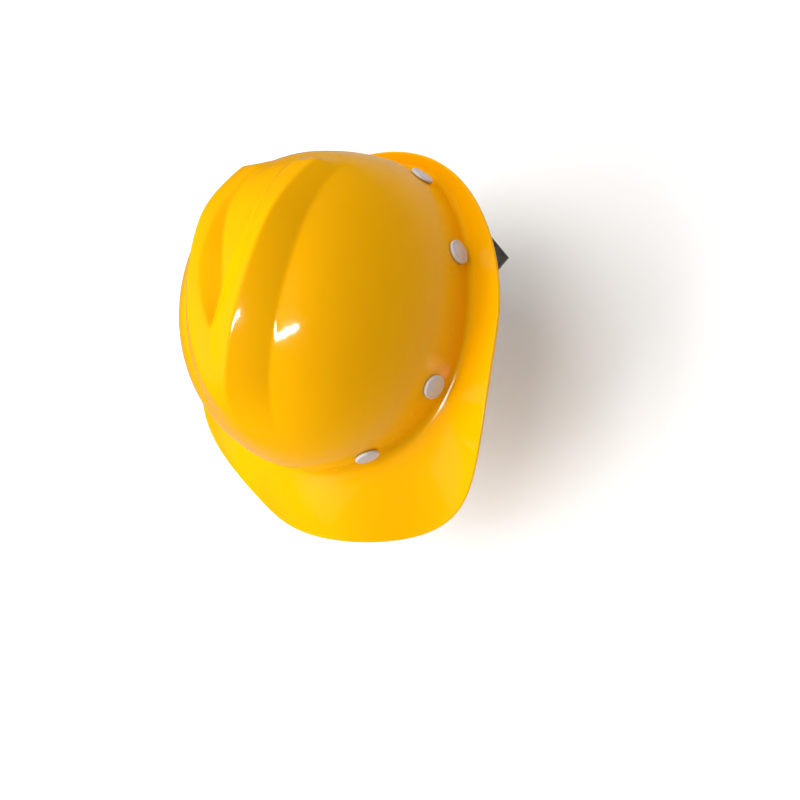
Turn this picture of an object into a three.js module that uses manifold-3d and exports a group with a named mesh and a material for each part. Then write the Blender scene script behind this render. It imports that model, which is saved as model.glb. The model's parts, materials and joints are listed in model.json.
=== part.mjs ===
// A safety helmet (hard hat) with a V-ribbed shell, a webbing cradle, a ratchet headband and a chin strap.
// Millimetres. +X is the wearer's left, -Y is forward (the peak), +Z is up.
// The origin lies on the head's axis at the height of the brim's reference plane.
import * as THREE from "three";
import { mergeVertices } from "three/addons/utils/BufferGeometryUtils.js";
import Module from "manifold-3d";

const wasm = await Module();
wasm.setup();

// ---------------------------------------------------------------- driving dimensions
const DEG = Math.PI / 180;
const GAP = 0.3; // between touching pieces

// Crown: a superellipsoid wall that draws in a little above the peak and turns into a round cap.
const CROWN = {
  halfWidth: 94.9,
  front: 109.6,
  rear: 111.3,
  height: 119.7,
  planPower: 0.7238,
  heightPower: 1.155,
  skirtTop: 60, // the skirt's taper acts below this height
  frontTaper: 0.18,
  rearTaper: -0.03,
};
const CAP = { radius: 86.9, centreZ: 33.8, power: 0.459, from: 47.3, to: 90.2 };
const CROWN_TOP = CAP.centreZ + CAP.radius;
const WALL = 2.4; // shell thickness
const COLUMNS = 48; // stations round the shell
const DOME_ROWS = 10;

// Brim edge: half-width, reach of peak and nape, and the heights that the edge passes through.
const BRIM = {
  halfWidth: 117.4,
  peak: 144.2,
  nape: 124.1,
  peakZ: -1.1,
  napeZ: -4.2,
  sideZ: 19.4,
  peakDip: -22.2,
  napeDip: 3.35,
};
// Brim root: where the crown's fillet ends and the brim begins.
const ROOT = { peakZ: 14, peakDip: -4, sideRise: 8, napeRise: 5, frontGap: 10, sideGap: 4.5, rearGap: 3.5 };
const PEAK_BULGE = 2.5;

// V relief: two arms from the rear of the crown, merging into a keel above the peak.
const RELIEF = {
  height: 9,
  rearDrop: 3.3,
  innerHeight: 6.9,
  innerDrop: 4.1,
  rearEnd: 82, // the arms' ends, and where they reach full height
  rearFull: 72,
  frontEnd: -94,
  keelStart: -50, // the keel sinks from here to its front end
  vTip: -29, // the recess between the arms closes here
  floorSlope: 0.235, // half-width of the recess floor per millimetre behind its front end
  floorStart: -8,
  armStep: 2.4, // how far the hollow behind an arm is drawn in
  stations: [82, 77, 72, 60, 46, 32, 18, 4, -10, -20, -30, -42, -54, -64, -74, -84],
};

// Rivets: angle from the front towards the wearer's side, mirrored left and right.
const RIVET_PLACES = {
  front: { angle: 33, z: 29 },
  temple: { angle: 68, z: 25 },
  side: { angle: 112.9, z: 20.9 },
  nape: { angle: 147.6, z: 18.7 },
};
const RIVET = { headRadius: 7.6, headHeight: 2.2, shankRadius: 2.8, tipRadius: 3.7, holeRadius: 3.1 };
const ANCHOR = { width: 22, below: 11, above: 13, outer: 5.2, thickness: 3.5 };
const ANCHOR_INNER = ANCHOR.outer + ANCHOR.thickness;

// Cradle straps over the head.
const CRADLE = { width: 20, thickness: 1.5, crownZ: 87, stack: 2.75, lean: 0.22, segments: 22 };

// Headband: an oval in front, circular arcs behind that slide through the ratchet.
const BAND = { halfWidth: 80, front: 93, centreY: 5, thickness: 1.6, low: -14, high: 16, endY: 45 };
const NAPE = { radius: 82.1, layer: 2.1, thickness: 1.6, centreY: 15, centreZ: -4, tilt: 14, halfHeight: 12 };
const NAPE_FRONT_ANGLE = 84; // where each nape strap ends at the side, from the rear
const NAPE_LAP_ANGLE = 21; // how far each nape strap runs past the rear centre
const RACK = { teeth: 8, module: 1.3, slotHalf: 21, clear: 0.25 };
const PITCH_RADIUS = (RACK.teeth * RACK.module) / 2;
const HOUSING = { halfAngle: 17, halfHeight: 15.5, wall: 2.2, outer: 90.4 };
const KNOB = { radius: 17, depth: 10, ribs: 16, shaft: 3.8 };

// Links below the anchors: hangers carry the headband, tabs carry the rear chin straps.
const HANGER = { halfWidth: 7, length: 13, thickness: 3, studRadius: 4 };
const KEEPER = { angle: 70, halfAngle: 4, wall: 1.2, cover: 1.5 };
const TAB = { wide: 11, back: 3.8, length: 13, foot: 1.4, thickness: 3 };

// Chin strap. Its straight parts run down the upright plane y = planeY.
const STRAP = { width: 15, thickness: 1.5, planeY: 57 };
const CORNER = { x: 90, y: 57.7, z: -40.9, size: 21, thickness: 3, clip: 2 };
const DESCENT_TOP = { x: 78, z: -47 };
const CHIN = { x: 24, z: -104, sag: 12, segments: 12, padWidth: 26, padThickness: 4 };
const SLIDER = { along: 36, halfLength: 7, halfWidth: 11, halfDepth: 2.6 };
const BUCKLE = { along: 30, halfWidth: 13, halfDepth: 4, top: -18, mouth: 10, baseEnd: 22 };

// ---------------------------------------------------------------- materials
const plastic = (color, roughness) => new THREE.MeshStandardMaterial({ color, roughness, metalness: 0 });
const shellYellow = plastic(0xfdc300, 0.22);
const rivetWhite = plastic(0xe9e6e6, 0.45);
const clipWhite = plastic(0xe2e2df, 0.5);
const bandWhite = plastic(0xdcdcd8, 0.5);
const webWhite = plastic(0xcfcfca, 0.9);
const webBlack = plastic(0x2c2523, 0.9);
const fittingBlack = plastic(0x1c1c1e, 0.5);
const padGrey = plastic(0x3a3a3c, 0.95);

// ---------------------------------------------------------------- helpers
const group = new THREE.Group();
const vec = (x, y, z) => new THREE.Vector3(x, y, z);
const lerp = THREE.MathUtils.lerp;
const smooth = (t) => THREE.MathUtils.smoothstep(t, 0, 1);

function add(name, geometry, material) {
  const mesh = new THREE.Mesh(geometry, material);
  mesh.name = name;
  group.add(mesh);
  return mesh;
}

// A closed mesh as a manifold-3d solid, and back.
function solid(geometry) {
  const bare = geometry.index ? geometry.toNonIndexed() : geometry.clone();
  const points = new THREE.BufferGeometry().setAttribute("position", bare.getAttribute("position"));
  const merged = mergeVertices(points, 1e-3);
  const vertProperties = merged.attributes.position.array;
  const triVerts = new Uint32Array(merged.index.array);
  return new wasm.Manifold(new wasm.Mesh({ numProp: 3, vertProperties, triVerts }));
}

function geometryOf(body) {
  const mesh = body.getMesh();
  const geometry = new THREE.BufferGeometry();
  geometry.setAttribute("position", new THREE.BufferAttribute(mesh.vertProperties, 3));
  geometry.setIndex(new THREE.BufferAttribute(mesh.triVerts, 1));
  return geometry;
}

function indexed(points, triangles) {
  const geometry = new THREE.BufferGeometry().setFromPoints(points);
  geometry.setIndex(triangles);
  return geometry;
}

// A closed body through rings of equal length, with a fan on each end. Rings turn anticlockwise
// when seen from beyond the last ring.
function loft(rings) {
  const n = rings[0].length;
  const points = rings.flat();
  const triangles = [];
  for (let i = 0; i + 1 < rings.length; i++)
    for (let j = 0; j < n; j++) {
      const a = i * n + j;
      const b = i * n + ((j + 1) % n);
      triangles.push(a, b, b + n, a, b + n, a + n);
    }
  const last = (rings.length - 1) * n;
  for (let j = 1; j + 1 < n; j++) {
    triangles.push(0, j + 1, j);
    triangles.push(last, last + j, last + j + 1);
  }
  return indexed(points, triangles);
}

// A flat outline (and its holes) given thickness, centred on its plane, then placed by a frame.
function slab(outline, depth, frame = new THREE.Matrix4(), holes = []) {
  const shape = new THREE.Shape(outline);
  for (const hole of holes) shape.holes.push(new THREE.Path(hole));
  const geometry = new THREE.ExtrudeGeometry(shape, { depth, bevelEnabled: false });
  return geometry.translate(0, 0, -depth / 2).applyMatrix4(frame);
}

const rectangle = (x0, y0, x1, y1) => [
  new THREE.Vector2(x0, y0),
  new THREE.Vector2(x1, y0),
  new THREE.Vector2(x1, y1),
  new THREE.Vector2(x0, y1),
];

function circle(radius, sides, x = 0, y = 0) {
  const points = [];
  for (let i = 0; i < sides; i++) {
    const a = (i / sides) * 2 * Math.PI;
    points.push(new THREE.Vector2(x + radius * Math.cos(a), y + radius * Math.sin(a)));
  }
  return points;
}

function frameAt(origin, x, y, z) {
  return new THREE.Matrix4().makeBasis(x, y, z).setPosition(origin);
}

// A body of revolution about the local z axis of a frame.
function turned(profile, frame, sides) {
  const points = profile.map(([r, z]) => new THREE.Vector2(r, z));
  return new THREE.LatheGeometry(points, sides).rotateX(Math.PI / 2).applyMatrix4(frame);
}

// A band of webbing along a path: its width lies along `across` at each point.
function ribbon(path, across, width, thickness) {
  const rings = path.map((p, i) => {
    const ahead = path[Math.min(i + 1, path.length - 1)];
    const behind = path[Math.max(i - 1, 0)];
    const tangent = ahead.clone().sub(behind).normalize();
    const side = across.clone().addScaledVector(tangent, -across.dot(tangent)).normalize();
    const normal = tangent.clone().cross(side);
    const corner = (u, v) =>
      p.clone().addScaledVector(side, (u * width) / 2).addScaledVector(normal, (v * thickness) / 2);
    return [corner(-1, -1), corner(1, -1), corner(1, 1), corner(-1, 1)];
  });
  return loft(rings);
}

// ---------------------------------------------------------------- crown surface
// Point on the crown at plan angle `a` (0 = front, towards the wearer's left) and height z,
// moved inwards by `inset`.
function crownPoint(a, z, inset = 0) {
  const reach = (Math.cos(a) > 0 ? CROWN.front : CROWN.rear) - inset;
  const width = CROWN.halfWidth - inset;
  const low = Math.max(0, (CROWN.skirtTop - z) / CROWN.skirtTop) ** 2;
  const taper = (Math.cos(a) > 0 ? CROWN.frontTaper : CROWN.rearTaper) * Math.cos(a) ** 2;
  const plan = planScale(z, inset) * (1 - taper * low);
  return vec(width * Math.sin(a) * plan, -reach * Math.cos(a) * plan, z);
}

// Size of the crown's plan at height z, as a share of its size at the brim.
function planScale(z, inset) {
  const lift = Math.min(1, Math.max(0, z) / (CROWN.height - inset));
  const sinQ = lift ** (1 / CROWN.heightPower);
  const wall = Math.max(0, 1 - sinQ * sinQ) ** (CROWN.planPower / 2);
  const radius = CAP.radius - inset;
  const u = (z - CAP.centreZ) / radius;
  const cap = (radius / (CROWN.halfWidth - inset)) * Math.max(0, 1 - u * u) ** CAP.power;
  return lerp(wall, cap, smooth((z - CAP.from) / (CAP.to - CAP.from)));
}

// Height of the crown above a plan point, and its outward normal there.
function crownHeight(x, y) {
  const r = Math.hypot(x / CROWN.halfWidth, y / (y < 0 ? CROWN.front : CROWN.rear));
  let low = 0;
  let high = CROWN_TOP;
  for (let i = 0; i < 40; i++) {
    const z = (low + high) / 2;
    if (planScale(z, 0) > r) low = z;
    else high = z;
  }
  return low;
}

function crownNormal(x, y) {
  const d = 0.5;
  const slopeX = (crownHeight(x + d, y) - crownHeight(x - d, y)) / (2 * d);
  const slopeY = (crownHeight(x, y + d) - crownHeight(x, y - d)) / (2 * d);
  return vec(-slopeX, -slopeY, 1).normalize();
}

function edgePoint(a) {
  const s = Math.sin(a);
  const c = Math.cos(a);
  const front = c > 0;
  const powerX = front ? 0.975 : 1.053;
  const powerY = front ? 0.504 : 1.091;
  const x = BRIM.halfWidth * Math.sign(s) * Math.abs(s) ** powerX;
  const y = -(front ? BRIM.peak : BRIM.nape) * Math.sign(c) * Math.abs(c) ** powerY;
  const dip = (front ? BRIM.peakDip : BRIM.napeDip) * 4 * s * s * c * c;
  return vec(x, y, (front ? BRIM.peakZ : BRIM.napeZ) * c * c + BRIM.sideZ * s * s + dip);
}

function rootHeight(a) {
  const s2 = Math.sin(a) ** 2;
  const c2 = 1 - s2;
  const sideZ = BRIM.sideZ - ROOT.sideRise;
  if (Math.cos(a) > 0) return ROOT.peakZ * c2 + sideZ * s2 + ROOT.peakDip * 4 * s2 * c2;
  return edgePoint(a).z - ROOT.sideRise * s2 - ROOT.napeRise * c2;
}

function rootGap(a) {
  const s2 = Math.sin(a) ** 2;
  return lerp(Math.cos(a) > 0 ? ROOT.frontGap : ROOT.rearGap, ROOT.sideGap, s2);
}

// One half-section of the shell at plan angle a, from the outer apex round the brim to the inner apex.
function shellSection(a) {
  const rootZ = rootHeight(a);
  const gap = rootGap(a);
  const edge = edgePoint(a);
  const wallTop = rootZ + gap;
  const innerShare = 1 - WALL / (CROWN_TOP - wallTop);
  const outer = [];
  const inner = [];
  for (let i = 1; i <= DOME_ROWS; i++) {
    const t = i / DOME_ROWS;
    const z = wallTop + (CROWN_TOP - wallTop) * Math.cos((t * Math.PI) / 2) ** 0.9;
    outer.push(crownPoint(a, z));
    inner.push(crownPoint(a, wallTop + (z - wallTop) * innerShare, WALL));
  }
  const foot = crownPoint(a, wallTop).setZ(rootZ);
  const toEdge = edge.clone().sub(foot).setZ(0).normalize();
  const root = foot.clone().addScaledVector(toEdge, gap);
  const fillet = (from, corner, to, t) =>
    from.clone().lerp(corner, t).lerp(corner.clone().lerp(to, t), t);
  const start = outer[outer.length - 1];
  outer.push(fillet(start, foot, root, 0.5));
  outer.push(root);
  const bulge = PEAK_BULGE * Math.max(0, Math.cos(a));
  const middle = root.clone().lerp(edge, 0.5);
  middle.z += bulge;
  outer.push(middle, edge);
  const down = vec(0, 0, -WALL);
  const innerStart = inner[inner.length - 1];
  const innerFoot = innerStart.clone().setZ(rootZ - WALL);
  const innerRoot = root.clone().add(down);
  const under = [edge, middle, root].map((p) => p.clone().add(down));
  under.push(fillet(innerStart, innerFoot, innerRoot, 0.5));
  return [...outer, ...under, ...inner.reverse()];
}

// The shell without its relief: sections all round, closed at the outer and inner apex.
function plainShell() {
  const sections = [];
  for (let i = 0; i < COLUMNS; i++) sections.push(shellSection((i / COLUMNS) * 2 * Math.PI));
  const n = sections[0].length;
  const points = [...sections.flat(), vec(0, 0, CROWN_TOP), vec(0, 0, CROWN_TOP - WALL)];
  const outerApex = COLUMNS * n;
  const innerApex = outerApex + 1;
  const triangles = [];
  for (let i = 0; i < COLUMNS; i++) {
    const a = i * n;
    const b = ((i + 1) % COLUMNS) * n;
    triangles.push(outerApex, a, b);
    for (let j = 0; j + 1 < n; j++) triangles.push(a + j, a + j + 1, b + j, b + j, a + j + 1, b + j + 1);
    triangles.push(innerApex, b + n - 1, a + n - 1);
  }
  return indexed(points, triangles);
}

// ---------------------------------------------------------------- V relief
// Lines of one arm in plan, as distances from the middle plane at station y.
const crestLine = (y) => 26.5 * (1 - (Math.max(0, 95.2 - y) / 173.5) ** 2.289);
const footLine = (y) =>
  y < 24 ? 38.6 * (1 - 0.398 * ((24 - y) / 100) ** 1.72) : 38.6 * (1 - 0.939 * ((y - 24) / 100) ** 3.78);
const innerLine = (y) =>
  y < 15 ? 14.9 * (1 - ((15 - y) / 44.2) ** 2) : 14.9 - 1.8 * ((y - 15) / 55) ** 2;
const crestHeight = (y) =>
  RELIEF.height * (1 - smooth((RELIEF.keelStart - y) / (RELIEF.keelStart - RELIEF.frontEnd))) -
  RELIEF.rearDrop * smooth((y - 31) / 35);
const innerHeight = (y) => RELIEF.innerHeight - RELIEF.innerDrop * smooth((y - 10) / 60);
const armFade = (y) => Math.min(1, Math.max(0, (RELIEF.rearEnd - y) / (RELIEF.rearEnd - RELIEF.rearFull)));

// One arm as a loft along y. `shrink` draws the arm in for the hollow behind it.
function arm(side, shrink) {
  const sunk = shrink ? WALL + 1.5 : 1.2;
  const rings = [];
  for (const y of RELIEF.stations) {
    const fade = armFade(y);
    const top = crestHeight(y) * fade;
    const inner = lerp(innerHeight(y) * fade, top, smooth((RELIEF.vTip - y) / 34));
    const crestX = Math.max(0.6, crestLine(y));
    const innerX = y > RELIEF.vTip ? Math.max(0, innerLine(y)) : 0;
    const flat = Math.min(Math.max(0, innerX - shrink), crestX - 0.3);
    const floorX = Math.min(flat, Math.max(0, RELIEF.floorSlope * (y - RELIEF.floorStart)));
    const at = (x, height) => {
      const n = crownNormal(x, y);
      return vec(x, y, crownHeight(x, y)).addScaledVector(n, height);
    };
    const drop = shrink ? WALL + 0.2 : 0;
    const ring = [
      at(shrink ? floorX + shrink : floorX, -sunk),
      at(shrink ? flat + 2 * shrink : flat - 0.2, inner - drop),
      at(crestX, Math.max(top - drop, -sunk + 0.2)),
      at(Math.max(crestX + 0.4, footLine(y) - shrink), -sunk),
    ];
    for (const p of ring) if (y <= RELIEF.vTip && p.x < 0.3) p.x = -0.4;
    for (const p of ring) p.x *= side;
    rings.push(side > 0 ? ring.reverse() : ring);
  }
  return loft(rings);
}

// ---------------------------------------------------------------- rivets and their frames
// Each rivet stands on the crown wall: local z points out of the wall, local y up it.
function rivetFrame(angle, z) {
  const a = angle * DEG;
  const at = crownPoint(a, z);
  const d = 0.02;
  const along = crownPoint(a + d, z).sub(crownPoint(a - d, z)).normalize();
  const up = crownPoint(a, z + 4).sub(crownPoint(a, z - 2)).normalize();
  const out = along.clone().cross(up).normalize();
  const straightUp = out.clone().cross(along);
  return frameAt(at, along, straightUp, out);
}

const rivets = [];
for (const [place, { angle, z }] of Object.entries(RIVET_PLACES))
  for (const [side, sign] of [
    ["left", 1],
    ["right", -1],
  ])
    rivets.push({ name: `${place}_${side}`, frame: rivetFrame(sign * angle, z) });
const rivetNamed = (name) => rivets.find((r) => r.name === name).frame;

// A snap rivet: a flat head outside, a shank through wall and anchor, and a barbed tip inside.
function rivet(frame) {
  const tipZ = -(ANCHOR_INNER + GAP);
  const { headRadius, headHeight, shankRadius, tipRadius } = RIVET;
  const profile = [
    [0, tipZ - 2.2],
    [shankRadius - 0.8, tipZ - 2.2],
    [tipRadius, tipZ],
    [shankRadius, tipZ],
    [shankRadius, 0.5],
    [headRadius, 0.5],
    [headRadius, 0.5 + headHeight * 0.6],
    [headRadius - 1.2, 0.5 + headHeight],
    [0, 0.5 + headHeight],
  ];
  return turned(profile, frame, 14);
}

// A flat clip inside the wall with a hole for the rivet and a slot for the cradle strap.
function anchor(frame) {
  const { width, below, above, outer, thickness } = ANCHOR;
  const w = width / 2;
  const outline = [
    [-w + 3, -below],
    [w - 3, -below],
    [w, -below + 3],
    [w, above - 2],
    [w - 2, above],
    [-w + 2, above],
    [-w, above - 2],
    [-w, -below + 3],
  ].map(([x, y]) => new THREE.Vector2(x, y));
  const shift = new THREE.Matrix4().makeTranslation(0, 0, -outer - thickness / 2);
  const slot = rectangle(-CRADLE.width / 2 - 0.4, above - 6, CRADLE.width / 2 + 0.4, above - 3);
  return slab(outline, thickness, frame.clone().multiply(shift), [circle(RIVET.holeRadius, 10), slot]);
}

// A point in an anchor's middle plane, `drop` mm below its lower edge.
const anchorFoot = (frame, x, drop) =>
  vec(x, -ANCHOR.below - drop, -ANCHOR.outer - ANCHOR.thickness / 2).applyMatrix4(frame);

// ---------------------------------------------------------------- cradle
// A strap from one anchor over the head to another, curved in the upright plane through both.
function cradleStrap(from, to, level) {
  const end = (frame) => vec(0, ANCHOR.above + 0.6, -ANCHOR_INNER - 0.4).applyMatrix4(frame);
  const p0 = end(from);
  const p1 = end(to);
  const across = p1.clone().sub(p0).setZ(0).normalize().cross(vec(0, 0, 1));
  const rise = CRADLE.crownZ + level * CRADLE.stack - (p0.z + p1.z) / 2;
  const startSine = Math.sin(CRADLE.lean);
  const path = [];
  for (let i = 0; i <= CRADLE.segments; i++) {
    const turn = lerp(CRADLE.lean, Math.PI - CRADLE.lean, i / CRADLE.segments);
    const p = p0.clone().lerp(p1, (1 - Math.cos(turn) / Math.cos(CRADLE.lean)) / 2);
    p.z += (rise * (Math.sin(turn) - startSine)) / (1 - startSine);
    path.push(p);
  }
  return ribbon(path, across, CRADLE.width, CRADLE.thickness);
}

// A round pad under the crossing of the straps.
function crownPad() {
  const top = CRADLE.crownZ + 0.6;
  const profile = [
    [0, top - 6.2],
    [16, top - 6.8],
    [28, top - 9.2],
    [29, top - 7.6],
    [17, top - 3.8],
    [0, top - 2.4],
  ];
  return turned(profile, new THREE.Matrix4().makeTranslation(0, 2, 0), 20);
}

// ---------------------------------------------------------------- headband
// Oval arc in plan from one side round the front to the other.
function ovalArc(inset, startY, steps) {
  const w = BAND.halfWidth - inset;
  const f = BAND.front - inset;
  const a = Math.acos((startY - BAND.centreY) / f);
  const points = [];
  for (let i = 0; i <= steps; i++) {
    const t = lerp(a, 2 * Math.PI - a, i / steps);
    points.push(new THREE.Vector2(w * Math.sin(t), BAND.centreY + f * Math.cos(t)));
  }
  return points;
}

function ovalBand(insetOuter, insetInner, startY, low, high, steps) {
  const outline = [...ovalArc(insetOuter, startY, steps), ...ovalArc(insetInner, startY, steps).reverse()];
  return slab(outline, high - low, new THREE.Matrix4().makeTranslation(0, 0, (high + low) / 2));
}

// Frame of the nape: its arcs lie in a plane that dips towards the rear.
const napeFrame = new THREE.Matrix4()
  .makeTranslation(0, NAPE.centreY, NAPE.centreZ)
  .multiply(new THREE.Matrix4().makeRotationX(-NAPE.tilt * DEG));

// Outline of a ring sector about the nape's centre; angle 0 is the rear, positive to the wearer's left.
function sector(r0, r1, from, to, steps) {
  const arc = (r) => {
    const points = [];
    for (let i = 0; i <= steps; i++) {
      const t = lerp(from, to, i / steps) * DEG;
      points.push(new THREE.Vector2(r * Math.sin(t), r * Math.cos(t)));
    }
    return points;
  };
  return [...arc(r0), ...arc(r1).reverse()];
}

// Frame on the knob's axis: local z points backwards, local x to the wearer's right, local y up.
const ratchetFrame = napeFrame
  .clone()
  .multiply(frameAt(vec(0, 0, 0), vec(-1, 0, 0), vec(0, 0, 1), vec(0, 1, 0)));

// The same frame moved outwards along the knob's axis, and a round plug on that axis.
const alongAxis = (z) => ratchetFrame.clone().multiply(new THREE.Matrix4().makeTranslation(0, 0, z));
const plug = (radius, from, to, sides) =>
  turned([[0, from], [radius, from], [radius, to], [0, to]], ratchetFrame, sides);

// A nape strap: a band with a slot at the rear whose one edge carries rack teeth.
function napeStrap(side) {
  const r0 = NAPE.radius + (side > 0 ? 0 : NAPE.layer);
  const r1 = r0 + NAPE.thickness;
  const from = -NAPE_LAP_ANGLE * side;
  const to = NAPE_FRONT_ANGLE * side;
  const band = solid(slab(sector(r0, r1, from, to, 30), 2 * NAPE.halfHeight, napeFrame));
  // Teeth reach down to the pitch line less one module; the far edge of the slot stays clear of the pinion.
  const tip = PITCH_RADIUS - RACK.module + RACK.clear;
  const root = PITCH_RADIUS + RACK.module * 1.25;
  const clearEdge = PITCH_RADIUS + RACK.module + 0.8;
  const pitch = Math.PI * RACK.module;
  const half = RACK.slotHalf;
  const outline = [new THREE.Vector2(-half, -clearEdge), new THREE.Vector2(half, -clearEdge)];
  const count = Math.floor(half / pitch);
  // Rack teeth sit half a pitch off the pinion's tooth that points straight at them.
  outline.push(new THREE.Vector2(half, root));
  for (let k = count; k >= -count; k--) {
    const centre = (k + 0.5) * pitch;
    if (Math.abs(centre) > half - pitch * 0.4) continue;
    outline.push(new THREE.Vector2(centre + pitch * 0.36, root));
    outline.push(new THREE.Vector2(centre + pitch * 0.13, tip));
    outline.push(new THREE.Vector2(centre - pitch * 0.13, tip));
    outline.push(new THREE.Vector2(centre - pitch * 0.36, root));
  }
  outline.push(new THREE.Vector2(-half, root));
  const points = outline.map((p) => new THREE.Vector2(p.x * side, p.y * side));
  const cutter = solid(slab(points, 12, alongAxis((r0 + r1) / 2)));
  return geometryOf(band.subtract(cutter));
}

// The housing's inner half: a channel that both nape straps run in.
function ratchetBase() {
  const { halfAngle, halfHeight, wall } = HOUSING;
  const r0 = NAPE.radius - GAP - wall;
  const r1 = NAPE.radius + NAPE.layer + NAPE.thickness + GAP;
  const block = solid(slab(sector(r0, r1, -halfAngle, halfAngle, 8), 2 * halfHeight, napeFrame));
  const channel = solid(
    slab(sector(r0 + wall, r1 + 5, -halfAngle - 5, halfAngle + 5, 10), 2 * NAPE.halfHeight + 1, napeFrame),
  );
  return geometryOf(block.subtract(channel));
}

// The housing's outer half, with a bore for the pinion's shaft.
function ratchetCover() {
  const { halfAngle, halfHeight, outer } = HOUSING;
  const r0 = NAPE.radius + NAPE.layer + NAPE.thickness + 2 * GAP;
  const plate = solid(slab(sector(r0, outer, -halfAngle, halfAngle, 8), 2 * halfHeight, napeFrame));
  const bore = solid(plug(KNOB.shaft + 0.4, 70, 110, 16));
  return geometryOf(plate.subtract(bore));
}

// The pinion that drives both racks, with the shaft that carries the knob.
function pinionGeometry() {
  const outline = [];
  const tip = PITCH_RADIUS + RACK.module * 0.8;
  const root = PITCH_RADIUS - RACK.module * 1.1;
  const pitch = (2 * Math.PI) / RACK.teeth;
  for (let k = 0; k < RACK.teeth; k++) {
    // A tooth points along +-x of the ratchet frame; the gaps between teeth face the racks.
    const middle = k * pitch;
    for (const [offset, r] of [
      [-0.3, root],
      [-0.1, tip],
      [0.1, tip],
      [0.3, root],
    ]) {
      const a = middle + offset * pitch;
      outline.push(new THREE.Vector2(r * Math.cos(a), r * Math.sin(a)));
    }
  }
  const low = NAPE.radius - 0.1;
  const high = NAPE.radius + NAPE.layer + NAPE.thickness + 0.1;
  const gear = solid(slab(outline, high - low, alongAxis((high + low) / 2)));
  const shaft = solid(plug(KNOB.shaft, high - 1, HOUSING.outer + 3, 14));
  return geometryOf(gear.add(shaft));
}

// The ribbed knob, pressed on the end of the shaft.
function knob() {
  const outline = [];
  const steps = KNOB.ribs * 2;
  for (let i = 0; i < steps; i++) {
    const r = KNOB.radius - (i % 2 ? 1.2 : 0);
    const a = (i / steps) * 2 * Math.PI;
    outline.push(new THREE.Vector2(r * Math.cos(a), r * Math.sin(a)));
  }
  const low = HOUSING.outer + 0.4;
  const body = solid(slab(outline, KNOB.depth, alongAxis(low + KNOB.depth / 2)));
  const socket = solid(plug(KNOB.shaft + GAP, low - 1, HOUSING.outer + 3 + GAP, 14));
  return geometryOf(body.subtract(socket));
}

// A loop round the headband's end and the nape strap that slides behind it.
function lapKeeper(side) {
  const { angle, halfAngle: half, wall, cover } = KEEPER;
  const low = NAPE.radius - GAP - wall;
  const r = NAPE.radius + (side > 0 ? 0 : NAPE.layer);
  const high = r + NAPE.thickness + GAP;
  const range = side > 0 ? [angle - half, angle + half] : [-angle - half, -angle + half];
  const wide = side > 0 ? [angle - half - 2, angle + half + 2] : [-angle - half - 2, -angle + half + 2];
  const outer = solid(slab(sector(low, high + cover, ...range, 4), 2 * NAPE.halfHeight + 4, napeFrame));
  const inner = solid(slab(sector(low + wall, high, ...wide, 5), 2 * NAPE.halfHeight + 2 * GAP, napeFrame));
  const middle = low + wall / 2;
  const back = vec(middle * Math.sin(angle * DEG) * side, middle * Math.cos(angle * DEG), 0);
  const stud = solid(bandStud(back.applyMatrix4(napeFrame), HANGER.studRadius));
  return geometryOf(outer.subtract(inner).add(stud));
}

// A link that hangs the headband from an anchor: a plate under the anchor and a stud to the band.
function hanger(frame) {
  const mid = -ANCHOR.outer - ANCHOR.thickness / 2;
  const top = -ANCHOR.below - 0.4;
  const { halfWidth, length, thickness, studRadius } = HANGER;
  const place = frame.clone().multiply(new THREE.Matrix4().makeTranslation(0, 0, mid));
  const plate = solid(slab(rectangle(-halfWidth, top - length, halfWidth, top), thickness, place));
  const centre = vec(0, top - length / 2, mid).applyMatrix4(frame);
  return geometryOf(plate.add(solid(bandStud(centre, studRadius))));
}

// A stud from a point outside the headband to just short of the band's face.
function bandStud(from, radius) {
  const w = BAND.halfWidth + BAND.thickness;
  const f = BAND.front + BAND.thickness;
  const offset = vec(from.x, from.y - BAND.centreY, 0);
  const inward = vec(-from.x / (w * w), -offset.y / (f * f), 0).normalize();
  const depth = (t) => Math.hypot((offset.x + inward.x * t) / w, (offset.y + inward.y * t) / f) - 1;
  let reach = 0;
  while (depth(reach) > 0) reach += 0.02;
  const side = vec(0, 0, 1).cross(inward);
  const place = frameAt(from, side, inward.clone().cross(side), inward);
  const end = reach - GAP - 0.15;
  return turned([[0, 0], [radius, 0], [radius, end], [0, end]], place, 12);
}

// An arm that carries the ratchet housing from a nape anchor.
function napeHanger(frame, side) {
  const start = anchorFoot(frame, 7.7 * side, 1.3);
  const housingEnd = vec(28.4 * side, 100.6, -13.5);
  const middle = start.clone().lerp(housingEnd, 0.5).add(vec(2 * side, 2.5, 0));
  return ribbon([start, middle, housingEnd], vec(-0.75 * side, 0.2, -0.6), 6, 2);
}

// A tab under a nape anchor whose slanted edge carries the rear chin strap.
function strapTab(frame, side) {
  const top = -ANCHOR.below - 0.4;
  const outline = [
    [-TAB.back, top],
    [TAB.wide, top],
    [TAB.wide, top - 1.5],
    [TAB.foot, top - TAB.length],
    [-TAB.back, top - TAB.length],
  ].map(([x, y]) => new THREE.Vector2(-x * side, y));
  const mid = -ANCHOR.outer - ANCHOR.thickness / 2;
  const place = frame.clone().multiply(new THREE.Matrix4().makeTranslation(0, 0, mid));
  return slab(outline, TAB.thickness, place);
}

// ---------------------------------------------------------------- chin strap
// The sewn corner where the branches of one side meet, its outer tip lowest.
const cornerTip = (side) => vec(CORNER.x * side, CORNER.y, CORNER.z);

const webbing = (path, across) => ribbon(path, across, STRAP.width, STRAP.thickness);

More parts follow.
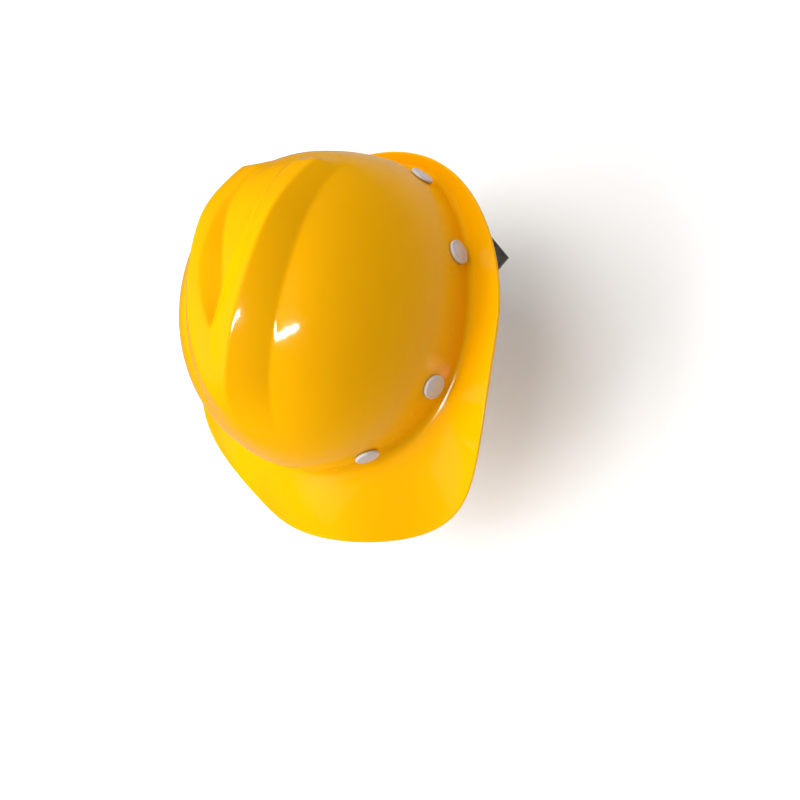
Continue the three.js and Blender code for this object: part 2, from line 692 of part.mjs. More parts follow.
// The corner and the two branches of one side. Returns where the lower strap starts, just inside the corner.
function chinSide(side) {
  const word = side > 0 ? "left" : "right";
  const tip = cornerTip(side);
  const rearWay = vec(-0.53 * side, 0.62, 0.58).normalize();
  const frontWay = vec(0, -0.61, 0.79);
  frontWay.addScaledVector(rearWay, -frontWay.dot(rearWay)).normalize();
  const size = CORNER.size;
  const middle = (u, v) => tip.clone().addScaledVector(rearWay, u).addScaledVector(frontWay, v);
  const normal = rearWay.clone().cross(frontWay);
  const outline = [
    [0, CORNER.clip],
    [CORNER.clip, 0],
    [size, 0],
    [size, size],
    [0, size],
  ].map(([x, y]) => new THREE.Vector2(x, y));
  const cornerFrame = frameAt(tip, rearWay, frontWay, normal);
  add(`strap_corner_${word}`, slab(outline, CORNER.thickness, cornerFrame), webBlack);
  const nape = rivetNamed(`nape_${word}`);
  const rear = [
    middle(size + GAP, size / 2),
    middle(size + 12, size / 2),
    vec(58 * side, 81, -9),
    anchorFoot(nape, -7.4 * side, 8.6),
  ];
  add(`strap_rear_${word}`, webbing(rear, vec(0.6 * side, -0.37, 0.67)), webBlack);
  const fore = [
    middle(size / 2, size + 0.8),
    middle(size / 2, size + 4),
    vec(89 * side, 47, -7),
    vec(87.8 * side, 44.5, 2.5),
    anchorFoot(rivetNamed(`side_${word}`), 0, 2),
  ];
  add(`strap_front_${word}`, webbing(fore, vec(-0.45 * side, 0.85, 0.25)), webBlack);
  const inward = normal.clone().multiplyScalar(normal.x * side > 0 ? -1 : 1);
  return middle(size / 2, size / 2).addScaledVector(inward, 6.4);
}

// Frame on the straight part of the strap of one side, `along` mm down it: local x points to the chin.
function descentFrame(side, along) {
  const top = vec(DESCENT_TOP.x * side, STRAP.planeY, DESCENT_TOP.z);
  const down = vec(CHIN.x * side, STRAP.planeY, CHIN.z).sub(top).normalize();
  const back = vec(0, 1, 0);
  return frameAt(top.addScaledVector(down, along), down, back, down.clone().cross(back));
}

function box(x0, y0, z0, x1, y1, z1, frame) {
  const shift = new THREE.Matrix4().makeTranslation(0, 0, (z0 + z1) / 2);
  return slab(rectangle(x0, y0, x1, y1), z1 - z0, frame.clone().multiply(shift));
}

// The socket half: a flat sleeve with an open mouth and a window in each side.
function buckleSocket(frame) {
  const { halfWidth, halfDepth, top, mouth } = BUCKLE;
  const sleeve = solid(box(top, -halfWidth, -halfDepth, mouth, halfWidth, halfDepth, frame));
  const hollow = solid(box(-13, -10.3, -2.6, mouth + 1, 10.3, 2.6, frame));
  const windows = solid(box(-10.6, -halfWidth - 1, -2.6, 1, halfWidth + 1, 2.6, frame));
  return geometryOf(sleeve.subtract(hollow).subtract(windows));
}

// The plug half: a base with a guide tongue; the two prongs beside it are separate.
function bucklePlug(frame) {
  const base = solid(box(BUCKLE.mouth + 0.4, -12, -3.5, BUCKLE.baseEnd, 12, 3.5, frame));
  const tongue = solid(box(-1, -2.4, -2.1, BUCKLE.mouth + 0.8, 2.4, 2.1, frame));
  return geometryOf(base.add(tongue));
}

// A springy prong, straight at the root, with a hooked head that fills the socket's window.
function buckleProng(frame, side) {
  const outline = [
    [10, 5.8],
    [10, 9.4],
    [0.6, 9.4],
    [-0.2, 12.4],
    [-7.8, 12.4],
    [-9.8, 8.4],
    [-8.5, 6.2],
  ].map(([x, y]) => new THREE.Vector2(x, y * side));
  return slab(outline, 4.2, frame);
}

// A flat slider that the strap of the right side runs through.
function strapSlider(frame) {
  const { halfLength, halfWidth, halfDepth } = SLIDER;
  const gapWidth = STRAP.width / 2 + 0.5;
  const body = solid(box(-halfLength, -halfWidth, -halfDepth, halfLength, halfWidth, halfDepth, frame));
  const slot = solid(box(-halfLength - 1, -gapWidth, -1.2, halfLength + 1, gapWidth, 1.2, frame));
  return geometryOf(body.subtract(slot));
}

function chinStrap() {
  const left = chinSide(1);
  const right = chinSide(-1);
  const buckle = descentFrame(1, BUCKLE.along);
  const at = (x) => vec(x, 0, 0).applyMatrix4(buckle);
  const across = vec(0, 1, 0);
  add("strap_upper_left", webbing([left, at(-BUCKLE.along), at(BUCKLE.top - GAP)], across), webBlack);
  add("buckle_socket", buckleSocket(buckle), fittingBlack);
  add("buckle_plug", bucklePlug(buckle), fittingBlack);
  add("buckle_prong_rear", buckleProng(buckle, 1), fittingBlack);
  add("buckle_prong_front", buckleProng(buckle, -1), fittingBlack);
  const chinPath = [];
  for (let i = 0; i <= CHIN.segments; i++) {
    const t = 1 - (2 * i) / CHIN.segments;
    chinPath.push(vec(CHIN.x * t, STRAP.planeY, CHIN.z - CHIN.sag * (1 - t * t)));
  }
  const slider = descentFrame(-1, SLIDER.along);
  const rightTop = vec(-SLIDER.along, 0, 0).applyMatrix4(slider);
  const path = [at(BUCKLE.baseEnd + GAP), ...chinPath, rightTop, right];
  add("strap_chin", webbing(path, across), webBlack);
  const padLift = STRAP.thickness / 2 + GAP + CHIN.padThickness / 2;
  const padPath = chinPath.slice(2, 11).map((p) => p.clone().add(vec(0, 0, padLift + 0.45)));
  add("chin_pad", ribbon(padPath, across, CHIN.padWidth, CHIN.padThickness), padGrey);
  add("strap_slider", strapSlider(slider), fittingBlack);
}

// ---------------------------------------------------------------- assembly
let shell = solid(plainShell());
for (const side of [1, -1]) shell = shell.add(solid(arm(side, 0)));
for (const side of [1, -1]) shell = shell.subtract(solid(arm(side, RELIEF.armStep)));
for (const { frame } of rivets) {
  const drill = [[0, -8], [RIVET.holeRadius, -8], [RIVET.holeRadius, 8], [0, 8]];
  shell = shell.subtract(solid(turned(drill, frame, 10)));
}
add("shell", geometryOf(shell), shellYellow);

for (const { name, frame } of rivets) {
  add(`rivet_${name}`, rivet(frame), rivetWhite);
  add(`anchor_${name}`, anchor(frame), clipWhite);
}

const crossings = [
  ["front_left", "nape_right"],
  ["front_right", "nape_left"],
  ["temple_left", "side_right"],
  ["temple_right", "side_left"],
];
crossings.forEach(([from, to], level) => {
  add(`cradle_${from}`, cradleStrap(rivetNamed(from), rivetNamed(to), level), webWhite);
});
add("crown_pad", crownPad(), padGrey);

add("headband", ovalBand(-BAND.thickness, 0, BAND.endY, BAND.low, BAND.high, 40), bandWhite);
add("sweatband", ovalBand(GAP, 3.8, -8, BAND.low + 2, BAND.high - 2, 26), padGrey);
add("hanger_front_left", hanger(rivetNamed("front_left")), clipWhite);
add("hanger_front_right", hanger(rivetNamed("front_right")), clipWhite);
add("hanger_temple_left", hanger(rivetNamed("temple_left")), clipWhite);
add("hanger_temple_right", hanger(rivetNamed("temple_right")), clipWhite);
add("nape_strap_left", napeStrap(1), bandWhite);
add("nape_strap_right", napeStrap(-1), bandWhite);
add("lap_keeper_left", lapKeeper(1), clipWhite);
add("lap_keeper_right", lapKeeper(-1), clipWhite);
add("ratchet_base", ratchetBase(), clipWhite);
add("ratchet_cover", ratchetCover(), clipWhite);
add("ratchet_pinion", pinionGeometry(), fittingBlack);
add("ratchet_knob", knob(), fittingBlack);
add("nape_hanger_left", napeHanger(rivetNamed("nape_left"), 1), clipWhite);
add("nape_hanger_right", napeHanger(rivetNamed("nape_right"), -1), clipWhite);
add("strap_tab_left", strapTab(rivetNamed("nape_left"), 1), clipWhite);
add("strap_tab_right", strapTab(rivetNamed("nape_right"), -1), clipWhite);
chinStrap();

export default group;
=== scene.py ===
"""A V-ribbed safety helmet with a webbing cradle, a ratchet headband and a chin strap."""
import json
import math

import bmesh
import bpy
import numpy as np
from mathutils import Matrix, Vector

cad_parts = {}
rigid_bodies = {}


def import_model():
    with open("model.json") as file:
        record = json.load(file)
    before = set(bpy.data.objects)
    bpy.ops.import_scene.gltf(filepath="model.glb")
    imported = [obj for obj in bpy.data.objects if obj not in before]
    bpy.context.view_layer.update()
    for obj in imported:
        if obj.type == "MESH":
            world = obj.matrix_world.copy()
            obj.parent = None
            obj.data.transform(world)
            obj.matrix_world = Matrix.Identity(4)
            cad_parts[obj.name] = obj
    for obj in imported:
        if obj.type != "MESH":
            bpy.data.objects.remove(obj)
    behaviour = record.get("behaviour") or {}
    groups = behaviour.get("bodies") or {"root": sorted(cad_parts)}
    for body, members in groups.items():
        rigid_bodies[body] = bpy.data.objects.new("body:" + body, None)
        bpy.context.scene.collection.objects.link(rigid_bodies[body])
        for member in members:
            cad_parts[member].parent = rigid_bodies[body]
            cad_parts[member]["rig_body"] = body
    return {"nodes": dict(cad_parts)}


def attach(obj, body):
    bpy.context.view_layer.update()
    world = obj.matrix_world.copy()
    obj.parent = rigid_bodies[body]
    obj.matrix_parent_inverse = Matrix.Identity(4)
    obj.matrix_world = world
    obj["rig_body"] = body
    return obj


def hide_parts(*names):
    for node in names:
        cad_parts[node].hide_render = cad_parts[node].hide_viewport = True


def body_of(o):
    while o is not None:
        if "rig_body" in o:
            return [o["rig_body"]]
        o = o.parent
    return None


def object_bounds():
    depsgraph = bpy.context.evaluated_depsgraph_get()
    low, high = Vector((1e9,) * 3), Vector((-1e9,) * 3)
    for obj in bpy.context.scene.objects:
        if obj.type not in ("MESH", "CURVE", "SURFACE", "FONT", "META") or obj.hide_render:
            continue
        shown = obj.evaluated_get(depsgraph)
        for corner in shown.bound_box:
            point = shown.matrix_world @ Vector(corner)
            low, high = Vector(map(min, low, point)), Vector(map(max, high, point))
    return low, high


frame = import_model()
cad_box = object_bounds()
MM = 0.001
DEG = math.pi / 180

# ---- driving dimensions, millimetres
CROWN = dict(half=94.9, front=109.6, rear=111.3, height=119.7, plan=0.7238, rise=1.155, skirt=60.0,
             front_taper=0.18, rear_taper=-0.03)
CAP = dict(radius=86.9, centre_z=33.8, power=0.459, low=47.3, high=90.2)
TOP = CAP["centre_z"] + CAP["radius"]
WALL = 2.4
BRIM = dict(half=117.4, peak=144.2, nape=124.1, peak_z=-1.1, nape_z=-4.2, side_z=19.4, peak_dip=-22.2,
            nape_dip=3.35)
ROOT = dict(peak_z=14.0, peak_dip=-4.0, side_rise=8.0, nape_rise=5.0, front_gap=10.0, side_gap=4.5,
            rear_gap=3.5)
PEAK_BULGE = 2.5
# V relief: two arms from the rear of the crown, merging into a keel above the peak.
RELIEF = dict(height=9.0, rear_drop=3.3, inner=6.9, inner_drop=4.1, rear_end=82.0, rear_full=72.0,
              front_end=-94.0, keel=-50.0, tip=-29.2, floor=1.9)
# Its half-widths: the arms' crest, the foot of their outer face and the edge of their inner face.
CREST = dict(half=26.5, rear=95.2, length=173.5, power=2.289)
FOOT = dict(half=38.6, y=24.0, front_share=0.398, front_power=1.72, rear_share=0.939, rear_power=3.78)
INNER = dict(half=14.9, y=15.0, front_length=44.2, rear_loss=1.8, rear_length=55.0)
RECESS = dict(slope=0.235, start=-8.0, half=10.3)
RIVETS = dict(front=(33.0, 29.0), temple=(68.0, 25.0), side=(112.9, 20.9), nape=(147.6, 18.7))
ANCHOR = dict(width=22.0, below=11.0, above=13.0, outer=5.2, thickness=3.5)
CRADLE = dict(width=20.0, thickness=1.5, crown_z=87.0, stack=2.75, lean=0.22)
STRAP = dict(width=15.0, thickness=1.5, plane_y=57.0)
CORNER = dict(x=90.0, y=57.7, z=-40.9, size=21.0)
DESCENT_TOP = (78.0, -47.0)
CHIN = dict(x=24.0, z=-104.0, sag=12.0, pad_width=26.0, pad_thickness=4.0)
SLIDER_ALONG = 36.0
BUCKLE = dict(along=30.0, top=-18.0, base_end=22.0)
BAND = dict(half=80.0, front=93.0, y=5.0, low=-14.0, high=16.0)
NAPE = dict(tilt=14.0, y=15.0, z=-4.0)
KNOB = dict(low=90.8, depth=10.0, radius=17.0, ribs=16)

# ---- fineness of the detail, millimetres
SHELL_COLUMNS = 720
OUTER_ROWS = dict(brim=16, fillet=8, dome=210)
INNER_ROWS = dict(brim=6, fillet=4, dome=50)
OUTER_BLUR, INNER_BLUR = 0.8, 3.0  # how far the relief's edges are softened, outside and inside
WEAVE_STEP = 1.5  # along a strap
THREAD_RADIUS = 0.32
STITCH = 3.2
EDGE_ANGLE = 28  # degrees: a sharper edge of a plastic piece is rounded
CLOTH_PRESSURE = 4.0
CLOTH_FRAMES = 20

# ---- studio, metres and watts
CAMERA_AT = (0.3072, -0.08305, 0.40537)
CAMERA_RIGHT = (0.83876, 0.14789, -0.52404)
CAMERA_DOWN = (0.08595, -0.9863, -0.14078)
CAMERA_AHEAD = (-0.53768, 0.07304, -0.83998)
CAMERA_LENS = 33.644
# Broad soft lights round the hat.
STUDIO = [("left", (-1.25, 0.0, 1.55), 15), ("top", (0.0, 0.0, 2.0), 17), ("rear", (0.0, 1.8, 0.9), 5),
          ("left_front", (-1.0, -1.1, 1.3), 29), ("left_rear", (-1.0, 1.1, 1.3), 9)]
STUDIO_AIM = (0, 0, 0.05)
STUDIO_SIZE = (1.2, 1.2)
# A narrow light for the highlight on the crown.
SOFTBOX = dict(place=(0.280, -0.368, 1.135), target=(0.041, -0.028, 0.11), size=(0.36, 0.05), power=9,
               long_way=(0.378, 0.152, -0.059))
AMBIENT = 0.37  # light from all round
GLOSS_BELOW, GLOSS_ABOVE = 0.75, 0.02  # how bright glossy surfaces see it, from below and from above
GLOSS_FROM, GLOSS_TO = -0.95, -0.35  # slopes of the reflected ray between which it fades


def link(name, data):
    """A new object in the scene."""
    thing = bpy.data.objects.new(name, data)
    bpy.context.scene.collection.objects.link(thing)
    return thing


# ---- camera, light and floor
def set_camera():
    data = bpy.data.cameras.new("camera")
    data.sensor_width = 36.0
    data.lens = CAMERA_LENS
    data.clip_start = 0.01
    cam = link("camera", data)
    turn = Matrix((Vector(CAMERA_RIGHT), -Vector(CAMERA_DOWN), -Vector(CAMERA_AHEAD))).transposed()
    cam.matrix_world = Matrix.Translation(CAMERA_AT) @ turn.to_4x4()
    bpy.context.scene.camera = cam


def area_light(name, place, target, size, power, long_way=None):
    """A rectangular light at `place` aimed at `target`, with its long side turned towards `long_way`."""
    data = bpy.data.lights.new(name, "AREA")
    data.shape = "RECTANGLE"
    data.size, data.size_y = size
    data.energy = power
    lamp = link(name, data)
    aim = (Vector(target) - Vector(place)).normalized()
    if long_way is None:
        turn = aim.to_track_quat("-Z", "Y").to_matrix()
    else:
        x = Vector(long_way)
        x = (x - aim * x.dot(aim)).normalized()
        turn = Matrix((x, (-aim).cross(x), -aim)).transposed()
    lamp.matrix_world = Matrix.Translation(place) @ turn.to_4x4()
    return lamp


def set_stage():
    bpy.ops.mesh.primitive_plane_add(size=6, location=(0, 0, cad_box[0][2] - 0.0005))
    floor = bpy.context.object
    floor.name = "floor"
    floor.data.materials.append(plain_floor())
    floor.visible_glossy = False
    set_world()
    for name, place, power in STUDIO:
        lamp = area_light(name, place, STUDIO_AIM, STUDIO_SIZE, power)
        lamp.visible_glossy = False
    softbox = area_light("softbox", **SOFTBOX)
    softbox.visible_diffuse = False
    bpy.context.scene.view_settings.view_transform = "Standard"


def set_world():
    """Pale light all round, which glossy surfaces see dim above and pale below, like a bright wall."""
    world = bpy.data.worlds.new("studio")
    bpy.context.scene.world = world
    world.use_nodes = True
    tree = world.node_tree
    path = tree.nodes.new("ShaderNodeLightPath")
    coords = tree.nodes.new("ShaderNodeTexCoord")
    split = tree.nodes.new("ShaderNodeSeparateXYZ")
    below = tree.nodes.new("ShaderNodeMapRange")
    fade = {"From Min": GLOSS_FROM, "From Max": GLOSS_TO, "To Min": GLOSS_BELOW, "To Max": GLOSS_ABOVE}
    for key, value in fade.items():
        below.inputs[key].default_value = value
    mix = tree.nodes.new("ShaderNodeMix")
    mix.inputs[2].default_value = AMBIENT
    tree.links.new(coords.outputs["Generated"], split.inputs[0])
    tree.links.new(split.outputs[2], below.inputs["Value"])
    tree.links.new(path.outputs["Is Glossy Ray"], mix.inputs[0])
    tree.links.new(below.outputs[0], mix.inputs[3])
    background = tree.nodes["Background"]
    background.inputs["Color"].default_value = (1.0, 0.99, 0.98, 1)
    tree.links.new(mix.outputs[0], background.inputs["Strength"])


# ---- materials
class Nodes:
    """A short way to write a node tree."""

    def __init__(self, name):
        self.material = bpy.data.materials.new(name)
        self.material.use_nodes = True
        self.tree = self.material.node_tree
        self.shader = self.tree.nodes["Principled BSDF"]

    def add(self, kind, inputs=None, **settings):
        node = self.tree.nodes.new(kind)
        for key, value in settings.items():
            setattr(node, key, value)
        for key, value in (inputs or {}).items():
            if hasattr(value, "is_linked"):
                self.tree.links.new(value, node.inputs[key])
            else:
                node.inputs[key].default_value = value
        return node

    def set(self, **values):
        for key, value in values.items():
            socket = self.shader.inputs[key.replace("_", " ")]
            if hasattr(value, "is_linked"):
                self.tree.links.new(value, socket)
            else:
                socket.default_value = value

    def object_position(self):
        return self.add("ShaderNodeTexCoord").outputs["Object"]

    def noise(self, scale, detail=3.0, roughness=0.5):
        inputs = {"Scale": scale, "Detail": detail, "Roughness": roughness, "Vector": self.object_position()}
        return self.add("ShaderNodeTexNoise", inputs).outputs["Fac"]

    def ramp(self, fac, stops):
        node = self.add("ShaderNodeValToRGB", {"Fac": fac})
        band = node.color_ramp
        while len(band.elements) < len(stops):
            band.elements.new(0.5)
        for element, (place, colour) in zip(band.elements, stops):
            element.position = place
            element.color = (*colour, 1)
        return node.outputs["Color"]

    def math(self, kind, a, b=0.0):
        return self.add("ShaderNodeMath", {0: a, 1: b}, operation=kind).outputs[0]

    def map(self, fac, low, high, from_low=0.0, from_high=1.0):
        inputs = {"Value": fac, "From Min": from_low, "From Max": from_high, "To Min": low, "To Max": high}
        return self.add("ShaderNodeMapRange", inputs).outputs[0]

    def bump(self, height, strength, distance):
        inputs = {"Height": height, "Strength": strength, "Distance": distance}
        return self.add("ShaderNodeBump", inputs).outputs["Normal"]


def plain_floor():
    n = Nodes("floor_paper")
    paper = n.ramp(n.noise(3.0), [(0.3, (0.80, 0.797, 0.79)), (0.7, (0.83, 0.827, 0.82))])
    n.set(Base_Color=paper, Roughness=0.9, Emission_Color=paper, Emission_Strength=0.15)
    return n.material


def shell_plastic():
    """Glossy, and softer low on the crown's wall and in the gutter."""
    n = Nodes("shell_yellow_abs")
    drift = n.noise(14.0, 2.0)
    colour = n.ramp(drift, [(0.3, (0.89, 0.41, 0.0)), (0.7, (0.92, 0.435, 0.0))])
    peel = n.noise(900.0, 2.0)
    scuffs = n.noise(260.0, 8.0, 0.7)
    up = n.add("ShaderNodeSeparateXYZ", {"Vector": n.object_position()}).outputs[2]
    wall = n.math("MULTIPLY", n.map(up, 0.16, 0.0, 0.03, 0.07), n.map(up, 0.0, 1.0, 0.012, 0.022))
    rough = n.math("ADD", n.map(scuffs, 0.08, 0.16, 0.45, 0.8), wall)
    n.set(Base_Color=colour, Roughness=rough, IOR=1.5, Normal=n.bump(peel, 0.04, 0.0002))
    return n.material


def moulded(name, colour, roughness, grain=0.12):
    """Plain moulded plastic with a slight drift of colour and a fine grain."""
    n = Nodes(name)
    drift = n.noise(40.0, 3.0)
    low = tuple(c * 0.93 for c in colour)
    high = tuple(min(1, c * 1.05) for c in colour)
    fine = n.noise(1400.0, 2.0)
    n.set(Base_Color=n.ramp(drift, [(0.3, low), (0.7, high)]),
          Roughness=n.map(fine, roughness - 0.06, roughness + 0.1), Normal=n.bump(fine, grain, 0.0002))
    return n.material


def woven(name, colour, pitch=1.1, sheen=0.3):
    """Webbing: ribs across the strap and a fine twill along it, from the strap's own u, v in millimetres."""
    n = Nodes(name)
    uv = n.add("ShaderNodeUVMap", uv_map="strap").outputs["UV"]
    parts = n.add("ShaderNodeSeparateXYZ", {"Vector": uv})
    u, v = parts.outputs[0], parts.outputs[1]
    turn = 2 * math.pi / pitch
    rib = n.math("SINE", n.math("MULTIPLY", v, turn))
    warp = n.math("SINE", n.math("MULTIPLY", u, turn * 1.35))
    weave = n.math("MULTIPLY", rib, warp)
    fuzz = n.noise(2200.0, 4.0, 0.7)
    height = n.math("ADD", n.math("MULTIPLY", weave, 0.5), n.math("MULTIPLY", fuzz, 0.6))
    # The colour follows the weave's height, as the bump does: painted shade in the hollows and painted light
    # on the raised threads, with the fuzz adding a random tone.
    dark = tuple(c * 0.55 for c in colour)
    light = tuple(min(1, c * 1.35 + 0.01) for c in colour)
    n.set(Base_Color=n.ramp(n.map(height, 0, 1, -0.4, 1.0), [(0.15, dark), (0.85, light)]), Roughness=0.85,
          Sheen_Weight=sheen, Sheen_Roughness=0.5, Normal=n.bump(height, 0.6, 0.0004))
    return n.material


def knit(name, colour):
    """Soft knitted cover of a pad."""
    n = Nodes(name)
    at = n.object_position()
    cells = n.add("ShaderNodeTexVoronoi", {"Vector": at, "Scale": 900.0}).outputs["Distance"]
    fuzz = n.noise(1600.0, 4.0, 0.7)
    height = n.math("ADD", cells, n.math("MULTIPLY", fuzz, 0.5))
    # The colour follows the knit's height, as the bump does: painted shade where the height is low and
    # painted light where it is high, with the fuzz adding a random tone.
    dark = tuple(c * 0.6 for c in colour)
    light = tuple(min(1, c * 1.3 + 0.01) for c in colour)
    n.set(Base_Color=n.ramp(height, [(0.2, dark), (0.9, light)]), Roughness=0.95, Sheen_Weight=0.4,
          Normal=n.bump(height, 0.5, 0.0005))
    return n.material


set_camera()
set_stage()
SHELL = shell_plastic()
RIVET = moulded("rivet_grey_plastic", (0.62, 0.60, 0.63), 0.42)
CLIP = moulded("clip_white_plastic", (0.80, 0.80, 0.77), 0.45)
BAND_WHITE = moulded("band_white_plastic", (0.78, 0.78, 0.74), 0.45)
FITTING = moulded("fitting_black_plastic", (0.022, 0.022, 0.024), 0.42, 0.2)
WEB_BLACK = woven("webbing_black", (0.034, 0.026, 0.019))
WEB_GREY = woven("webbing_grey", (0.52, 0.53, 0.52), 1.4, 0.15)
PAD = knit("pad_dark_knit", (0.045, 0.047, 0.052))
THREAD_PALE = moulded("thread_pale", (0.62, 0.62, 0.60), 0.8)
THREAD_DARK = moulded("thread_dark", (0.10, 0.09, 0.085), 0.8)


# ---- making objects
def mesh_of(name, points, faces):
    """A mesh from points in millimetres."""
    mesh = bpy.data.meshes.new(name)
    mesh.from_pydata([tuple(p) for p in np.asarray(points, float) * MM], [], [tuple(f) for f in faces])
    return mesh


def coat(mesh, material):
    """One material and smooth shading all over."""
    mesh.materials.clear()
    mesh.materials.append(material)
    for polygon in mesh.polygons:
        polygon.use_smooth = True
        polygon.material_index = 0


def make(name, points, faces, material, body, nodes=(), uv=None):
    """A piece which rides a body and may replace CAD nodes."""
    mesh = mesh_of(name, points, faces)
    if uv is not None:
        layer = mesh.uv_layers.new(name="strap")
        for loop in mesh.loops:
            layer.data[loop.index].uv = uv[loop.vertex_index]
    mesh.validate()
    coat(mesh, material)
    piece = link(name, mesh)
    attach(piece, body)
    if nodes:
        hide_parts(*nodes)


# ---- the shell's surface
def smooth01(t):
    t = np.clip(t, 0, 1)
    return t * t * (3 - 2 * t)


def plan_scale(z, inset=0.0):
    """Size of the crown's plan at height z, relative to the brim."""
    lift = np.clip(z / (CROWN["height"] - inset), 0, 1)
    sin_q = lift ** (1 / CROWN["rise"])
    wall = np.maximum(0, 1 - sin_q * sin_q) ** (CROWN["plan"] / 2)
    radius = CAP["radius"] - inset
    u = (z - CAP["centre_z"]) / radius
    cap = radius / (CROWN["half"] - inset) * np.maximum(0, 1 - u * u) ** CAP["power"]
    blend = smooth01((z - CAP["low"]) / (CAP["high"] - CAP["low"]))
    return wall + (cap - wall) * blend


def crown_points(a, z, inset=0.0):
    """Points on the crown without its relief, at angle a from the front and height z."""
    a, z = np.broadcast_arrays(np.asarray(a, float), np.asarray(z, float))
    ahead = np.cos(a) > 0
    reach = np.where(ahead, CROWN["front"], CROWN["rear"]) - inset
    low = np.maximum(0, (CROWN["skirt"] - z) / CROWN["skirt"]) ** 2
    taper = np.where(ahead, CROWN["front_taper"], CROWN["rear_taper"]) * np.cos(a) ** 2
    plan = plan_scale(z, inset) * (1 - taper * low)
    return np.stack([(CROWN["half"] - inset) * np.sin(a) * plan, -reach * np.cos(a) * plan, z], -1)


HEIGHTS = np.linspace(0, TOP, 6001)
SCALES = plan_scale(HEIGHTS)


def crown_height(x, y):
    r = np.hypot(x / CROWN["half"], y / np.where(y < 0, CROWN["front"], CROWN["rear"]))
    return np.interp(-r, -SCALES, HEIGHTS)


def edge_points(a):
    """The brim's edge, which rises at the sides and dips on the peak."""
    s, c = np.sin(a), np.cos(a)
    front = c > 0
    x = BRIM["half"] * np.sign(s) * np.abs(s) ** np.where(front, 0.975, 1.053)
    y = -np.where(front, BRIM["peak"], BRIM["nape"]) * np.sign(c) * np.abs(c) ** np.where(front, 0.504, 1.091)
    dip = np.where(front, BRIM["peak_dip"], BRIM["nape_dip"]) * 4 * s * s * c * c
    z = np.where(front, BRIM["peak_z"], BRIM["nape_z"]) * c * c + BRIM["side_z"] * s * s + dip
    return np.stack([x, y, z], -1)


def root_height(a):
    """Height at which the brim meets the crown's fillet."""
    s2 = np.sin(a) ** 2
    c2 = 1 - s2
    front = ROOT["peak_z"] * c2 + (BRIM["side_z"] - ROOT["side_rise"]) * s2 + ROOT["peak_dip"] * 4 * s2 * c2
    rear = edge_points(a)[..., 2] - ROOT["side_rise"] * s2 - ROOT["nape_rise"] * c2
    return np.where(np.cos(a) > 0, front, rear)


def root_gap(a):
    """Size of that fillet."""
    s2 = np.sin(a) ** 2
    end = np.where(np.cos(a) > 0, ROOT["front_gap"], ROOT["rear_gap"])
    return end + (ROOT["side_gap"] - end) * s2


class Relief:
    """Height of the V relief above the crown, sampled from a softened grid over the plan."""

    STEP = 0.5

    def __init__(self, blur):
        self.x = np.arange(-70, 70.01, self.STEP)
        self.y = np.arange(-112, 104.01, self.STEP)
        xx, yy = np.meshgrid(self.x, self.y, indexing="ij")
        h = self.sharp(np.abs(xx), yy)
        half = int(3 * blur / self.STEP)
        kernel = np.exp(-0.5 * (np.arange(-half, half + 1) * self.STEP / blur) ** 2)
        kernel /= kernel.sum()
        for axis in (0, 1):
            h = np.apply_along_axis(lambda row: np.convolve(row, kernel, "same"), axis, h)
        self.h = h

    @staticmethod
    def lines(y):
        """Half-widths at which the crest, the outer foot and the inner edge lie."""
        crest = CREST["half"] * (1 - (np.maximum(0, CREST["rear"] - y) / CREST["length"]) ** CREST["power"])
        ahead = np.maximum(0, FOOT["y"] - y) / 100
        behind = np.maximum(0, y - FOOT["y"]) / 100
        front = FOOT["half"] * (1 - FOOT["front_share"] * ahead ** FOOT["front_power"])
        rear = FOOT["half"] * (1 - FOOT["rear_share"] * behind ** FOOT["rear_power"])
        foot = np.where(y < FOOT["y"], front, rear)
        off = y - INNER["y"]
        inner = np.where(off < 0, INNER["half"] * (1 - (off / INNER["front_length"]) ** 2),
                         INNER["half"] - INNER["rear_loss"] * (off / INNER["rear_length"]) ** 2)
        return crest, foot, np.where(y > RELIEF["tip"], np.maximum(0, inner), 0)

    @staticmethod
    def sharp(x, y):
        """Height at half-width x and place y, before its edges are softened."""
        crest, foot, inner = Relief.lines(y)
        wedge = RECESS["slope"] * (y - RECESS["start"])  # negative ahead of the floor's front end
        floor = np.clip(wedge, 0, RECESS["half"])
        fade = np.clip((RELIEF["rear_end"] - y) / (RELIEF["rear_end"] - RELIEF["rear_full"]), 0, 1)
        deep = RELIEF["floor"] * np.sin(math.pi * np.clip(y / 90, 0, 1)) ** 2 * fade
        top = RELIEF["height"] * (1 - smooth01((RELIEF["keel"] - y) / (RELIEF["keel"] - RELIEF["front_end"])))
        top = (top - RELIEF["rear_drop"] * smooth01((y - 31) / 35)) * fade
        step = (RELIEF["inner"] - RELIEF["inner_drop"] * smooth01((y - 10) / 60)) * fade
        side = step + (top - step) * smooth01((RELIEF["tip"] - y) / 34)
        rise = np.clip(-wedge / np.maximum(inner - wedge, 1e-3), 0, 1)
        bottom = deep + (side - deep) * rise
        crest = np.maximum(crest, 0.6)
        floor = np.minimum(floor, inner)
        h = np.where(x < floor, bottom, 0.0)
        t = (x - floor) / np.maximum(inner - floor, 1e-3)
        h = np.where((x >= floor) & (x < inner), bottom + (side - bottom) * t, h)
        t = (x - inner) / np.maximum(crest - inner, 1e-3)
        h = np.where((x >= inner) & (x < crest), side + (top - side) * t, h)
        t = (x - crest) / np.maximum(foot - crest, 1e-3)
        h = np.where((x >= crest) & (x < foot), top * (1 - t), h)
        return h

    def at(self, x, y):
        """Height at any points, by bilinear interpolation."""
        fx = np.clip((x - self.x[0]) / self.STEP, 0, len(self.x) - 1.001)
        fy = np.clip((y - self.y[0]) / self.STEP, 0, len(self.y) - 1.001)
        i, j = fx.astype(int), fy.astype(int)
        u, v = fx - i, fy - j
        h = self.h
        return ((1 - u) * (1 - v) * h[i, j] + u * (1 - v) * h[i + 1, j] + (1 - u) * v * h[i, j + 1]
                + u * v * h[i + 1, j + 1])


